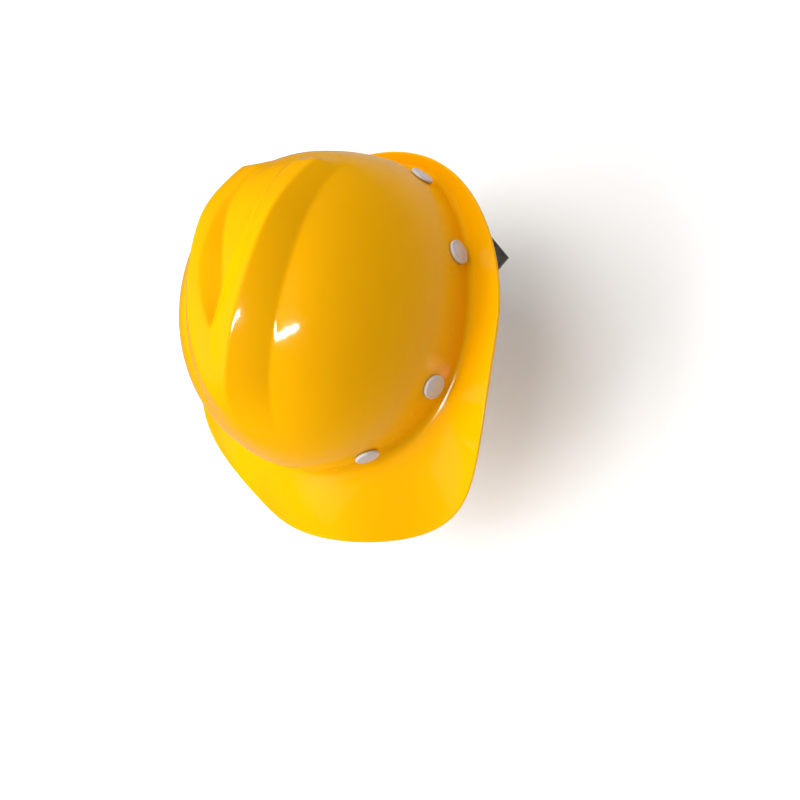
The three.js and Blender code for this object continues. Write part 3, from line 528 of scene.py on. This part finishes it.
def crown_normals(x, y):
    d = 0.4
    sx = (crown_height(x + d, y) - crown_height(x - d, y)) / (2 * d)
    sy = (crown_height(x, y + d) - crown_height(x, y - d)) / (2 * d)
    n = np.stack([-sx, -sy, np.ones_like(sx)], -1)
    return n / np.linalg.norm(n, axis=-1, keepdims=True)


def dome_rows(a, wall_top, count, inset, relief):
    """Rows of points from the wall's foot to the apex, evenly spaced along the surface."""
    t = np.linspace(0, 1, 400)
    z = wall_top[:, None] + (TOP - inset - wall_top[:, None]) * np.sin(t * math.pi / 2) ** 0.9
    p = crown_points(a[:, None], z, inset)
    step = np.linalg.norm(np.diff(p, axis=1), axis=-1)
    run = np.concatenate([np.zeros((len(a), 1)), np.cumsum(step, 1)], 1)
    run /= run[:, -1:]
    want = np.linspace(0, 1, count + 1)[:-1]
    zi = np.stack([np.interp(want, run[i], z[i]) for i in range(len(a))])
    p = crown_points(a[:, None], zi, inset)
    h = relief.at(p[..., 0], p[..., 1])
    n = crown_normals(p[..., 0], p[..., 1])
    return p + n * h[..., None]


def bezier(a, b, c, t):
    return a * (1 - t) ** 2 + b * 2 * t * (1 - t) + c * t ** 2


def shell_side(columns, rows, inset, relief, drop):
    """Grid of one face of the shell: brim edge, gutter or peak, fillet, wall and dome."""
    a = np.arange(columns) / columns * 2 * math.pi
    root_z, gap = root_height(a), root_gap(a)
    wall_top = root_z + gap
    edge = edge_points(a)
    outer_start = crown_points(a, wall_top)
    foot = outer_start.copy()
    foot[:, 2] = root_z
    to_edge = edge - foot
    to_edge[:, 2] = 0
    to_edge /= np.linalg.norm(to_edge, axis=1, keepdims=True)
    root = foot + to_edge * gap[:, None]
    start = crown_points(a, wall_top, inset)
    corner = start.copy()
    corner[:, 2] = root_z - drop
    down = np.array([0, 0, -drop])
    grid = []
    for s in np.linspace(1, 0, rows["brim"], endpoint=False):
        p = root + (edge - root) * s
        p[:, 2] += PEAK_BULGE * np.maximum(0, np.cos(a)) * 4 * s * (1 - s)
        grid.append(p + down)
    for t in np.linspace(1, 0, rows["fillet"], endpoint=False):
        grid.append(bezier(start, corner, root + down, t))
    dome = dome_rows(a, wall_top, rows["dome"], inset, relief)
    grid.extend(dome[:, j] for j in range(dome.shape[1]))
    return np.array(grid)


def quads(rows, columns, start, flip=False):
    """Faces between rings of points that follow each other from index `start`."""
    faces = []
    for j in range(rows - 1):
        for i in range(columns):
            k = (i + 1) % columns
            a, b = start + j * columns + i, start + j * columns + k
            c, d = start + (j + 1) * columns + k, start + (j + 1) * columns + i
            faces.append((a, d, c, b) if flip else (a, b, c, d))
    return faces


def tube_faces(rows, columns, start=0, flip=False):
    """The same faces, and one more across each end."""
    first = range(start, start + columns)
    last = range(start + (rows - 1) * columns, start + rows * columns)
    ends = [tuple(first), tuple(last)[::-1]] if flip else [tuple(first)[::-1], tuple(last)]
    return quads(rows, columns, start, flip) + ends


def build_shell():
    """Both faces of the shell, joined by a rounded lip at the brim and closed at the apex."""
    n = SHELL_COLUMNS
    over, within = Relief(OUTER_BLUR), Relief(INNER_BLUR)
    outer = shell_side(n, OUTER_ROWS, 0.0, over, 0.0)
    inner = shell_side(n, INNER_ROWS, WALL, within, WALL)
    edge, under = outer[0], inner[0]
    outward = edge - outer[1]
    outward[:, 2] = 0
    outward /= np.linalg.norm(outward, axis=1, keepdims=True)
    lip = []
    for t in np.linspace(0, math.pi, 7)[1:-1]:
        halfway = (edge + under) / 2
        p = halfway + outward * (WALL / 2 * math.sin(t))
        p[:, 2] = halfway[:, 2] + WALL / 2 * math.cos(t)
        lip.append(p)
    rows = np.concatenate([inner[::-1], np.array(lip)[::-1], outer])
    points = rows.reshape(-1, 3)
    middle = np.array([0.0])
    apex_out = np.array([[0, 0, TOP + over.at(middle, middle)[0]]])
    apex_in = np.array([[0, 0, TOP - WALL + within.at(middle, middle)[0]]])
    points = np.concatenate([points, apex_in, apex_out])
    faces = quads(len(rows), n, 0)
    low, high = len(points) - 2, len(points) - 1
    last = (len(rows) - 1) * n
    for i in range(n):
        k = (i + 1) % n
        faces.append((low, k, i))
        faces.append((last + i, last + k, high))
    make("shell_skin", points, faces, SHELL, "hat", ["shell"])


# ---- geometry helpers
def unit(v):
    v = np.asarray(v, float)
    return v / np.linalg.norm(v, axis=-1, keepdims=True)


class Place:
    """A local frame: origin and three axes, in millimetres."""

    def __init__(self, origin, x, y, z):
        self.origin = np.asarray(origin, float)
        self.axes = np.stack([np.asarray(v, float) for v in (x, y, z)])

    def __call__(self, points):
        return self.origin + np.asarray(points, float) @ self.axes


def rivet_place(word):
    """A rivet's own frame on the crown: x along the brim, y up the wall, z outwards."""
    place, side = word.split("_")
    angle, z = RIVETS[place]
    a = math.radians(angle) * (1 if side == "left" else -1)
    at = crown_points(a, z)
    along = unit(crown_points(a + 0.02, z) - crown_points(a - 0.02, z))
    up = unit(crown_points(a, z + 4) - crown_points(a, z - 2))
    out = unit(np.cross(along, up))
    return Place(at, along, np.cross(out, along), out)


WORDS = [f"{place}_{side}" for place in RIVETS for side in ("left", "right")]
RIVET_AT = {word: rivet_place(word) for word in WORDS}


def lathe(profile, place, sides, ripple=None):
    """Points and faces of a profile of (radius, height) turned about the local z axis."""
    points = []
    for radius, height in profile:
        for i in range(sides):
            t = 2 * math.pi * i / sides
            r = radius * (1 if ripple is None else ripple(t, height))
            points.append((r * math.cos(t), r * math.sin(t), height))
    return place(points), tube_faces(len(profile), sides)


def spline(points, step):
    """Points along a Catmull-Rom curve, about `step` apart, and each one's place in the original list."""
    p = np.asarray(points, float)
    ends = np.concatenate([[2 * p[0] - p[1]], p, [2 * p[-1] - p[-2]]])
    found, where = [], []
    for i in range(1, len(ends) - 2):
        a, b, c, d = ends[i - 1:i + 3]
        knots = [0.0]
        for u, v in ((a, b), (b, c), (c, d)):
            knots.append(knots[-1] + max(1e-6, np.linalg.norm(v - u)) ** 0.5)
        t0, t1, t2, t3 = knots
        count = max(2, int(math.ceil(np.linalg.norm(c - b) / step)))
        for k in range(count):
            t = t1 + (t2 - t1) * k / count
            a1 = (t1 - t) / (t1 - t0) * a + (t - t0) / (t1 - t0) * b
            a2 = (t2 - t) / (t2 - t1) * b + (t - t1) / (t2 - t1) * c
            a3 = (t3 - t) / (t3 - t2) * c + (t - t2) / (t3 - t2) * d
            b1 = (t2 - t) / (t2 - t0) * a1 + (t - t0) / (t2 - t0) * a2
            b2 = (t3 - t) / (t3 - t1) * a2 + (t - t1) / (t3 - t1) * a3
            found.append((t2 - t) / (t2 - t1) * b1 + (t - t1) / (t2 - t1) * b2)
            where.append(i - 1 + k / count)
    found.append(p[-1])
    where.append(len(p) - 1)
    return np.array(found), np.array(where)


class Ribbon:
    """A flat woven strap along a path, with rounded edges and its own u, v in millimetres."""

    def __init__(self, path, across, width, thickness):
        self.centre, where = spline(path, WEAVE_STEP)
        across = np.asarray(across, float)
        if across.ndim == 2:
            index = np.arange(len(across))
            across = np.stack([np.interp(where, index, across[:, k]) for k in range(3)], -1)
        tangent = unit(np.gradient(self.centre, axis=0))
        along = (across * tangent).sum(-1, keepdims=True)
        self.side = unit(across - along * tangent)
        self.normal = np.cross(tangent, self.side)
        self.run = np.concatenate([[0], np.cumsum(np.linalg.norm(np.diff(self.centre, axis=0), axis=1))])
        self.width, self.thickness = width, thickness

    def section(self):
        """A flat oval of (across, out) pairs, slightly thicker at each edge."""
        w, h = self.width / 2, self.thickness / 2
        top = [(-w + h, h), (-w + 2.4 * h, h), (-w + 3.4 * h, h * 0.86), (0.0, h * 0.86),
               (w - 3.4 * h, h * 0.86), (w - 2.4 * h, h), (w - h, h)]
        edge = [(w - h + h * math.cos(t), h * math.sin(t)) for t in (1.05, 0.52, 0.0, -0.52, -1.05)]
        bottom = [(-u, -v) for u, v in top]
        other = [(-u, -v) for u, v in edge]
        return top + edge + bottom + other

    def build(self, name, material, nodes=()):
        section = self.section()
        points, uv = [], []
        for c, s, m, v in zip(self.centre, self.side, self.normal, self.run):
            for a, b in section:
                points.append(c + s * a + m * b)
                uv.append((a, v))
        faces = tube_faces(len(self.run), len(section), flip=True)
        make(name, points, faces, material, "hat", nodes, uv=uv)

    def at(self, u, v, lift):
        """The point u across, v along and `lift` above the strap's middle."""
        def along(values):
            return np.stack([np.interp(v, self.run, values[:, k]) for k in range(3)], -1)
        return along(self.centre) + along(self.side) * u + along(self.normal) * lift

    def facing(self, v, way):
        """+1 where the strap's own normal points the given way at v, else -1."""
        return np.sign((self.at(0, v, 1) - self.at(0, v, 0)) @ way)

    def stitch(self, lines, lift):
        """Threads along lines of (u, v) on one face of the strap."""
        threads = []
        for (u0, v0), (u1, v1) in lines:
            count = max(1, int(math.hypot(u1 - u0, v1 - v0) / STITCH))
            for k in range(count):
                t0, t1 = (k + 0.12) / count, (k + 0.82) / count
                ends = [self.at(u0 + (u1 - u0) * t, v0 + (v1 - v0) * t, lift) for t in (t0, t1)]
                threads.append(ends)
        return threads

    def box_stitch(self, v0, v1, lift, inset=2.2):
        """Threads round a box and along its diagonals, between v0 and v1."""
        u = self.width / 2 - inset
        corners = [(-u, v0), (u, v0), (u, v1), (-u, v1)]
        lines = [(corners[i], corners[(i + 1) % 4]) for i in range(4)]
        lines += [(corners[0], corners[2]), (corners[1], corners[3])]
        return self.stitch(lines, lift)


def build_threads(name, threads, material):
    """Short rounded stitches, all in one mesh."""
    points, faces = [], []
    for a, b in threads:
        a, b = np.asarray(a), np.asarray(b)
        ahead = unit(b - a)
        side = unit(np.cross(ahead, [0.31, 0.2, 0.93]))
        up = np.cross(ahead, side)
        start = len(points)
        for t, r in ((0.0, 0.35), (0.14, 0.9), (0.5, 1.0), (0.86, 0.9), (1.0, 0.35)):
            for k in range(6):
                q = k * math.pi / 3
                turned = math.cos(q) * side + math.sin(q) * up
                points.append(a + (b - a) * t + THREAD_RADIUS * r * turned)
        faces += tube_faces(5, 6, start)
    make(name, points, faces, material, "hat")


# ---- plastic pieces with rounded edges
def rounded(node, material, width, segments=3):
    """A CAD piece's own shape with its sharp edges rounded."""
    bm = bmesh.new()
    bm.from_mesh(frame["nodes"][node].data)
    bmesh.ops.remove_doubles(bm, verts=bm.verts, dist=3e-6)
    bmesh.ops.dissolve_limit(bm, angle_limit=0.6 * DEG, verts=bm.verts, edges=bm.edges)
    sharp = [e for e in bm.edges if len(e.link_faces) == 2 and e.calc_face_angle(0) > EDGE_ANGLE * DEG]
    bmesh.ops.bevel(bm, geom=sharp, offset=width * MM, segments=segments, profile=0.5, affect="EDGES",
                    clamp_overlap=True)
    mesh = bpy.data.meshes.new(node + "_rounded")
    bm.to_mesh(mesh)
    bm.free()
    coat(mesh, material)
    piece = link(node + "_form", mesh)
    weigh = piece.modifiers.new("weigh", "WEIGHTED_NORMAL")
    weigh.weight = 80
    weigh.keep_sharp = True
    settle(piece)
    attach(piece, body_of(frame["nodes"][node])[0])
    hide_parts(node)


def settle(piece):
    """Applies a piece's modifiers."""
    bpy.context.view_layer.update()
    depsgraph = bpy.context.evaluated_depsgraph_get()
    mesh = bpy.data.meshes.new_from_object(piece.evaluated_get(depsgraph))
    piece.modifiers.clear()
    piece.data = mesh


# ---- rivets and clips
def build_rivets():
    """Snap rivets: a barbed end inside, a shank, and a flat head with a raised rim."""
    tip = -(ANCHOR["outer"] + ANCHOR["thickness"] + 0.3)
    barb = [(1.6, tip - 2.2), (2.1, tip - 2.2), (2.5, tip - 1.9), (3.6, tip - 0.3), (3.7, tip - 0.1)]
    shank = [(3.6, tip), (2.8, tip), (2.8, 0.45)]
    rim = [(7.2, 0.4), (7.5, 0.5), (7.6, 0.8), (7.6, 1.5), (7.5, 1.95), (7.2, 2.25), (6.8, 2.35), (6.45, 2.3)]
    face = [(6.2, 2.1), (5.9, 2.1), (5.6, 2.2), (4.0, 2.42), (2.0, 2.55), (0.4, 2.6)]
    for word, place in RIVET_AT.items():
        points, faces = lathe(barb + shank + rim + face, place, 48)
        make(f"rivet_{word}_form", points, faces, RIVET, "hat", [f"rivet_{word}"])


def build_clips():
    for word in RIVET_AT:
        rounded(f"anchor_{word}", CLIP, 0.7)
    for side in ("left", "right"):
        for place in ("front", "temple"):
            rounded(f"hanger_{place}_{side}", CLIP, 0.7)
        rounded(f"lap_keeper_{side}", CLIP, 0.4)
        rounded(f"nape_hanger_{side}", CLIP, 0.6)
        rounded(f"strap_tab_{side}", CLIP, 0.7)


# ---- cradle
CROSSINGS = [("front_left", "nape_right"), ("front_right", "nape_left"), ("temple_left", "side_right"),
             ("temple_right", "side_left")]
HEAD_MIDDLE = np.array([0, 0, 20.0])


def inward(path, k, across):
    """The normal of a cradle strap's arch at its point k, towards the head."""
    normal = unit(np.cross(path[k + 1] - path[k - 1], across))
    return normal * np.sign((HEAD_MIDDLE - path[k]) @ normal)


def anchor_loop():
    """The webbing's path round an anchor's bar, as (up, out) in the rivet's own frame: from the tail on the
    head's side, through the slot and up over the outside of the bar."""
    inner = ANCHOR["outer"] + ANCHOR["thickness"]
    mid = -(ANCHOR["outer"] + ANCHOR["thickness"] / 2)
    bar = ANCHOR["above"]
    return [(bar + 2.2, -inner - 1.5), (bar - 1.5, -inner - 1.0), (bar - 3.8, -inner - 0.2), (bar - 4.6, mid),
            (bar - 3.7, mid + 1.9), (bar - 1.4, mid + 2.4), (bar + 1.4, mid + 1.5), (bar + 4.0, mid - 0.7)]


def cradle_arch(a, b, level):
    """A strap's arch over the head from anchor to anchor, crossing the others at its own level."""
    foot = [0, ANCHOR["above"] + 0.6, -ANCHOR["outer"] - ANCHOR["thickness"] - 0.4]
    p0, p1 = a(foot), b(foot)
    rise = CRADLE["crown_z"] + level * CRADLE["stack"] - (p0[2] + p1[2]) / 2
    lean = CRADLE["lean"]
    path = []
    for turn in np.linspace(lean, math.pi - lean, 23):
        p = p0 + (p1 - p0) * (1 - math.cos(turn) / math.cos(lean)) / 2
        p[2] += rise * (math.sin(turn) - math.sin(lean)) / (1 - math.sin(lean))
        path.append(p)
    return path


def cradle_sides(a, b, across, ends, middle):
    """Directions across a strap, which lies square to each anchor and in its own plane between them."""
    turn_a = a.axes[0] * np.sign(a.axes[0] @ across)
    turn_b = b.axes[0] * np.sign(b.axes[0] @ across)
    sides = [turn_a] * ends
    for i in range(middle):
        t = (i + 1) / (middle + 1)
        pull_a, pull_b = max(0, 1 - t * 4.5), max(0, 1 - (1 - t) * 4.5)
        sides.append(unit(across * (1 - pull_a - pull_b) + turn_a * pull_a + turn_b * pull_b))
    return sides + [turn_b] * ends


def build_cradle():
    """Each strap is threaded through its anchors, folded back and sewn."""
    loop = anchor_loop()
    threads = []
    for level, (begin, finish) in enumerate(CROSSINGS):
        a, b = RIVET_AT[begin], RIVET_AT[finish]
        path = cradle_arch(a, b, level)
        plan = path[-1] - path[0]
        plan[2] = 0
        across = np.cross(unit(plan), [0, 0, 1])
        # The sewn tails lie against the strap on its inner face.
        tail_a = [path[k] + inward(path, k, across) * lift for k, lift in ((2, 1.45), (1, 1.5))]
        tail_b = [path[k] + inward(path, k, across) * lift for k, lift in ((-2, 1.5), (-3, 1.45))]
        start = tail_a + [a([0, y, z]) for y, z in loop]
        end = [b([0, y, z]) for y, z in loop][::-1] + tail_b
        sides = cradle_sides(a, b, across, len(start), len(path) - 2)
        strap = Ribbon(np.array(start + path[1:-1] + end), sides, CRADLE["width"], CRADLE["thickness"] * 0.85)
        strap.build(f"cradle_{begin}_webbing", WEB_GREY, [f"cradle_{begin}"])
        face = strap.thickness / 2 + 0.1
        for v0, k in ((1.2, 1), (strap.run[-1] - 9.2, -2)):
            toward = strap.facing(v0 + 4, inward(path, k, across))
            threads += strap.box_stitch(v0, v0 + 8.0, toward * face)
    build_threads("cradle_stitching", threads, THREAD_PALE)


# ---- headband and ratchet
def ratchet_place():
    """The knob's own frame: x to the wearer's right, y up, z backwards along its axle."""
    c, s = math.cos(NAPE["tilt"] * DEG), math.sin(NAPE["tilt"] * DEG)
    return Place((0, NAPE["y"], NAPE["z"]), (-1, 0, 0), (0, s, c), (0, c, -s))


def build_headband():
    rounded("headband", BAND_WHITE, 0.5)
    for side in ("left", "right"):
        rounded(f"nape_strap_{side}", BAND_WHITE, 0.3, 2)
    rounded("ratchet_base", CLIP, 0.8)
    rounded("ratchet_cover", CLIP, 1.6, 4)
    rounded("ratchet_pinion", FITTING, 0.15, 2)


def build_knob():
    """The ratchet's knob, with shallow ribs round its rim and a boss in its dished face."""
    low, radius = KNOB["low"], KNOB["radius"]
    high = low + KNOB["depth"]

    def grip(t, height):
        ribs = 0.5 + 0.5 * math.cos(KNOB["ribs"] * t)
        depth = 1.0 if low + 1.0 < height < high - 0.6 else 0.35
        return 1 - 0.075 * depth * (1 - ribs ** 0.6)

    wall = [(4.3, low), (radius - 2.2, low), (radius - 1.3, low + 0.3), (radius - 0.4, low + 1.2),
            (radius - 0.1, low + 2.4), (radius - 0.1, high - 2.4), (radius - 0.5, high - 1.1)]
    face = [(radius - 1.6, high - 0.3), (radius - 3.0, high), (radius - 5.0, high - 0.15),
            (radius - 6.0, high - 0.9)]
    boss = [(5.5, high - 1.4), (4.9, high - 1.2), (4.4, high - 0.5), (3.6, high - 0.2), (0.5, high - 0.1)]
    points, faces = lathe(wall + face + boss, ratchet_place(), 192, grip)
    make("ratchet_knob_form", points, faces, FITTING, "knob", ["ratchet_knob"])


# ---- pads
def inflate(piece, voxel, cap):
    """Swells a thin pad by cloth simulation, moving no point further than `cap` millimetres."""
    remesh = piece.modifiers.new("remesh", "REMESH")
    remesh.mode = "VOXEL"
    remesh.voxel_size = voxel * MM
    settle(piece)
    start = coordinates(piece)
    cloth = piece.modifiers.new("cloth", "CLOTH")
    cloth.settings.use_pressure = True
    cloth.settings.uniform_pressure_force = CLOTH_PRESSURE
    cloth.settings.quality = 4
    cloth.settings.effector_weights.gravity = 0
    scene = bpy.context.scene
    for number in range(1, CLOTH_FRAMES + 1):
        scene.frame_set(number)
    settle(piece)
    scene.frame_set(1)
    move = coordinates(piece) - start
    size = np.linalg.norm(move, axis=1, keepdims=True)
    move *= np.minimum(1, cap / np.maximum(size, 1e-9))
    place_points(piece, start + move)


def coordinates(piece):
    found = np.zeros(len(piece.data.vertices) * 3, np.float32)
    piece.data.vertices.foreach_get("co", found)
    return found.reshape(-1, 3).astype(float) / MM


def place_points(piece, points):
    piece.data.vertices.foreach_set("co", (points * MM).astype(np.float32).ravel())
    piece.data.update()


def finish_pad(piece, shape):
    """One subdivision, then the seams and channels that `shape` presses in."""
    divide = piece.modifiers.new("divide", "SUBSURF")
    divide.levels = divide.render_levels = 1
    settle(piece)
    place_points(piece, shape(coordinates(piece)))
    coat(piece.data, PAD)


def pad_piece(name, points, faces, node, voxel, cap, shape):
    """A pad that starts as a closed form, swells by no more than `cap` and is sewn as `shape` says."""
    piece = link(name, mesh_of(name, points, faces))
    inflate(piece, voxel, cap)
    finish_pad(piece, shape)
    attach(piece, "hat")
    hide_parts(node)


def channel(distance, width):
    """Depth of a sewn channel, from 1 in its middle to 0."""
    return np.exp(-(distance / width) ** 2)


def build_crown_pad():
    """A domed round pad under the crossing of the straps, sewn in a ring and six spokes."""
    top = CRADLE["crown_z"] + 0.6
    under = [(0.4, -5.6), (16, -6.2), (25, -7.8), (27.2, -8.6)]
    over = [(27.6, -8.1), (26, -7.0), (17, -4.5), (0.4, -3.1)]
    profile = [(r, top + z) for r, z in under + over]
    points, faces = lathe(profile, Place((0, 2, 0), (1, 0, 0), (0, 1, 0), (0, 0, 1)), 48)

    def shape(p):
        r = np.hypot(p[:, 0], p[:, 1] - 2)
        angle = np.arctan2(p[:, 1] - 2, p[:, 0])
        middle = top - 4.3 - 4.1 * (r / 28.0) ** 2.2
        spokes = channel(np.sin(angle * 3) * r / 3, 0.9) * (r > 6) * (r < 22.5)
        press = 0.55 * channel(r - 22.5, 1.0) + 0.5 * spokes
        q = p.copy()
        q[:, 2] = middle + (p[:, 2] - middle) * (1 - np.clip(press, 0, 0.6))
        return q

    pad_piece("crown_pad_foam", points, faces, "crown_pad", 1.7, 0.9, shape)


def oval_at(t, inset):
    """The headband's front oval, at angle t from the back, set in by `inset`."""
    w, f = BAND["half"] - inset, BAND["front"] - inset
    return np.stack([w * np.sin(t), BAND["y"] + f * np.cos(t)], -1)


def build_sweatband():
    """A padded brow band inside the front of the headband, sewn across into short cushions."""
    inset, thick = 0.3, 3.5
    end = math.acos((-8 - BAND["y"]) / (BAND["front"] - inset))
    low, high = BAND["low"] + 3.0, BAND["high"] - 3.0
    angles = np.linspace(end + 0.012, 2 * math.pi - end - 0.012, 90)
    section = [(0.7, low), (0.7, high), (1.1, high + 0.6), (2.3, high + 0.6), (2.9, high), (2.9, low),
               (2.3, low - 0.6), (1.1, low - 0.6)]
    points = []
    for t in angles:
        for depth, z in section:
            x, y = oval_at(t, inset + depth)
            points.append((x, y, z))
    faces = tube_faces(len(angles), len(section))
    table = np.linspace(end, 2 * math.pi - end, 2000)
    centre = oval_at(table, inset + thick / 2)
    run = np.concatenate([[0], np.cumsum(np.linalg.norm(np.diff(centre, axis=0), axis=1))])

    def shape(p):
        w, f = BAND["half"] - inset - thick / 2, BAND["front"] - inset - thick / 2
        t = np.arctan2(p[:, 0] / w, (p[:, 1] - BAND["y"]) / f) % (2 * math.pi)
        middle = oval_at(t, inset + thick / 2)
        s = np.interp(t, table, run)
        pitch = run[-1] / 13
        near = (s / pitch - np.round(s / pitch)) * pitch
        press = 0.6 * channel(near, 1.1) * (np.abs(p[:, 2] - 1) < 11)
        press += 0.45 * channel(np.abs(p[:, 2] - 1) - 11.2, 0.7)
        q = p.copy()
        q[:, :2] = middle + (p[:, :2] - middle) * (1 - np.clip(press, 0, 0.65))[:, None]
        return q

    pad_piece("sweatband_foam", points, faces, "sweatband", 1.5, 0.55, shape)


def chin_points():
    """The chin strap's curve under the chin, from left to right."""
    t = 1 - np.arange(13) / 6
    return np.stack([CHIN["x"] * t, np.full(13, STRAP["plane_y"]), CHIN["z"] - CHIN["sag"] * (1 - t * t)], -1)


def build_chin_pad():
    """A padded sleeve on the chin strap's lowest stretch, sewn across."""
    lift = STRAP["thickness"] / 2 + 0.3 + CHIN["pad_thickness"] / 2 + 0.45
    path = chin_points()[2:11] + [0, 0, lift]
    strap = Ribbon(path, (0, 1, 0), CHIN["pad_width"] - 1.6, CHIN["pad_thickness"] - 1.4)
    section = strap.section()
    points = []
    for c, s, m in zip(strap.centre, strap.side, strap.normal):
        points += [c + s * a + m * b for a, b in section]
    faces = tube_faces(len(strap.run), len(section), flip=True)
    centre, normal, run = strap.centre, strap.normal, strap.run

    def shape(p):
        nearest = np.argmin(((p[:, None, (0, 2)] - centre[None][..., (0, 2)]) ** 2).sum(-1), axis=1)
        off = ((p - centre[nearest]) * normal[nearest]).sum(1)
        s = run[nearest]
        pitch = run[-1] / 5
        near = (s / pitch - np.round(s / pitch)) * pitch
        inside = (s > 3) * (s < run[-1] - 3)
        press = 0.55 * channel(near, 1.1) * inside
        press += 0.5 * channel(np.abs(p[:, 1] - STRAP["plane_y"]) - CHIN["pad_width"] / 2 + 2.4, 0.7)
        return p - normal[nearest] * (off * np.clip(press, 0, 0.6))[:, None]

    pad_piece("chin_pad_foam", points, faces, "chin_pad", 1.5, 0.7, shape)


# ---- chin strap
def descent(side, along):
    """A frame on the straight part of the chin strap: x down the strap, y backwards."""
    top = np.array([DESCENT_TOP[0] * side, STRAP["plane_y"], DESCENT_TOP[1]])
    down = unit(np.array([CHIN["x"] * side, STRAP["plane_y"], CHIN["z"]]) - top)
    return Place(top + down * along, down, (0, 1, 0), np.cross(down, (0, 1, 0)))


def corner_place(side):
    """The sewn corner's own frame: x along the rear strap, y along the front strap, z outwards."""
    rear_way = unit((-0.53 * side, 0.62, 0.58))
    front_way = np.array([0, -0.61, 0.79])
    front_way = unit(front_way - rear_way * (front_way @ rear_way))
    normal = np.cross(rear_way, front_way)
    outward = normal * np.sign(normal[0] * side)
    return Place((CORNER["x"] * side, CORNER["y"], CORNER["z"]), rear_way, front_way, outward)


def build_corner(word, corner):
    """Two lengths of webbing cross in the corner, one over the other, and are sewn through."""
    size, half = CORNER["size"], CORNER["size"] / 2
    rear_way, front_way, outward = corner.axes
    lay = 0.75
    level = [corner([u, half, lay]) for u in (0.4, half, size)]
    upright = [corner([half, v, -lay]) for v in (0.4, half, size)]
    over = Ribbon(level, front_way, size, 1.45)
    under = Ribbon(upright, rear_way, size, 1.45)
    over.build(f"strap_corner_{word}_over", WEB_BLACK, [f"strap_corner_{word}"])
    under.build(f"strap_corner_{word}_under", WEB_BLACK)
    outside = over.box_stitch(2.6, size - 2.6, over.facing(5, outward) * 0.8, 2.6)
    inside = [[p - outward * 3.15 for p in pair] for pair in outside]
    return outside + inside


def anchored_strap(name, path, across, inside, sewn):
    """A chin strap that is folded through a slot at its far end and sewn there, between two distances from
    that end."""
    strap = Ribbon(path, across, STRAP["width"], STRAP["thickness"])
    strap.build(f"{name}_webbing", WEB_BLACK, [name])
    total = strap.run[-1]
    return strap.box_stitch(total - sewn[0], total - sewn[1], strap.facing(total - 4, inside) * 0.85)


def chin_side(side):
    """The corner and its two straps on one side: their threads, and where the strap below begins."""
    word = "left" if side > 0 else "right"
    corner = corner_place(side)
    size, half = CORNER["size"], CORNER["size"] / 2
    threads = build_corner(word, corner)
    mid = -(ANCHOR["outer"] + ANCHOR["thickness"] / 2)

    nape = RIVET_AT[f"nape_{word}"]
    inside = -nape.axes[2]
    end = nape([-7.4 * side, -ANCHOR["below"] - 8.6, mid])
    before = np.array([58 * side, 81, -9.0])
    ahead = unit(end - before)
    rear = [corner([size - 6, half, -1.6]), corner([size + 0.3, half, -0.6]), corner([size + 12, half, 0]),
            before, end - ahead * 4 + inside * 1.0, end + ahead * 1.5 + inside * 2.6,
            end + ahead * 7 + inside * 2.7]
    across = unit((0.6 * side, -0.37, 0.67))
    threads += anchored_strap(f"strap_rear_{word}", rear, across, inside, (7.5, 1.6))

    ear = RIVET_AT[f"side_{word}"]
    inside, up = -ear.axes[2], ear.axes[1]
    end = ear([0, -ANCHOR["below"] - 2, mid])
    fore = [corner([half, size - 6, 1.6]), corner([half, size + 0.8, 0.6]), corner([half, size + 4, 0]),
            (89 * side, 47, -7), (87.8 * side, 44.5, 2.5), end + inside * 1.4, end + up * 3.4 + inside * 2.7,
            end + up * 7.5 + inside * 2.7]
    across = unit((-0.45 * side, 0.85, 0.25))
    threads += anchored_strap(f"strap_front_{word}", fore, across, inside, (6.6, 1.4))
    return threads, corner([half, half, -6.4])


def build_chin_strap():
    threads, left = chin_side(1)
    more, right = chin_side(-1)
    threads += more
    buckle, slider = descent(1, BUCKLE["along"]), descent(-1, SLIDER_ALONG)
    upper = Ribbon([left, buckle([-BUCKLE["along"], 0, 0]), buckle([BUCKLE["top"] - 8, 0, 0]),
                    buckle([BUCKLE["top"] - 0.3, 0, 0])], (0, 1, 0), STRAP["width"], STRAP["thickness"])
    upper.build("strap_upper_left_webbing", WEB_BLACK, ["strap_upper_left"])
    for lift in (-0.85, 0.85):
        threads += upper.box_stitch(upper.run[-1] - 12, upper.run[-1] - 3, lift)
    path = [buckle([BUCKLE["base_end"] + 0.3, 0, 0]), buckle([BUCKLE["base_end"] + 7, 0, 0]), *chin_points(),
            slider([-SLIDER_ALONG, 0, 0]), right]
    lower = Ribbon(path, (0, 1, 0), STRAP["width"], STRAP["thickness"])
    lower.build("strap_chin_webbing", WEB_BLACK, ["strap_chin"])
    for lift in (-0.85, 0.85):
        threads += lower.box_stitch(3, 12, lift)
    build_threads("chin_strap_stitching", threads, THREAD_DARK)
    edges = dict(buckle_socket=1.1, buckle_plug=0.9, buckle_prong_rear=0.8, buckle_prong_front=0.8,
                 strap_slider=0.7)
    for node, width in edges.items():
        rounded(node, FITTING, width)


build_shell()
build_rivets()
build_clips()
build_cradle()
build_headband()
build_knob()
build_crown_pad()
build_sweatband()
build_chin_pad()
build_chin_strap()
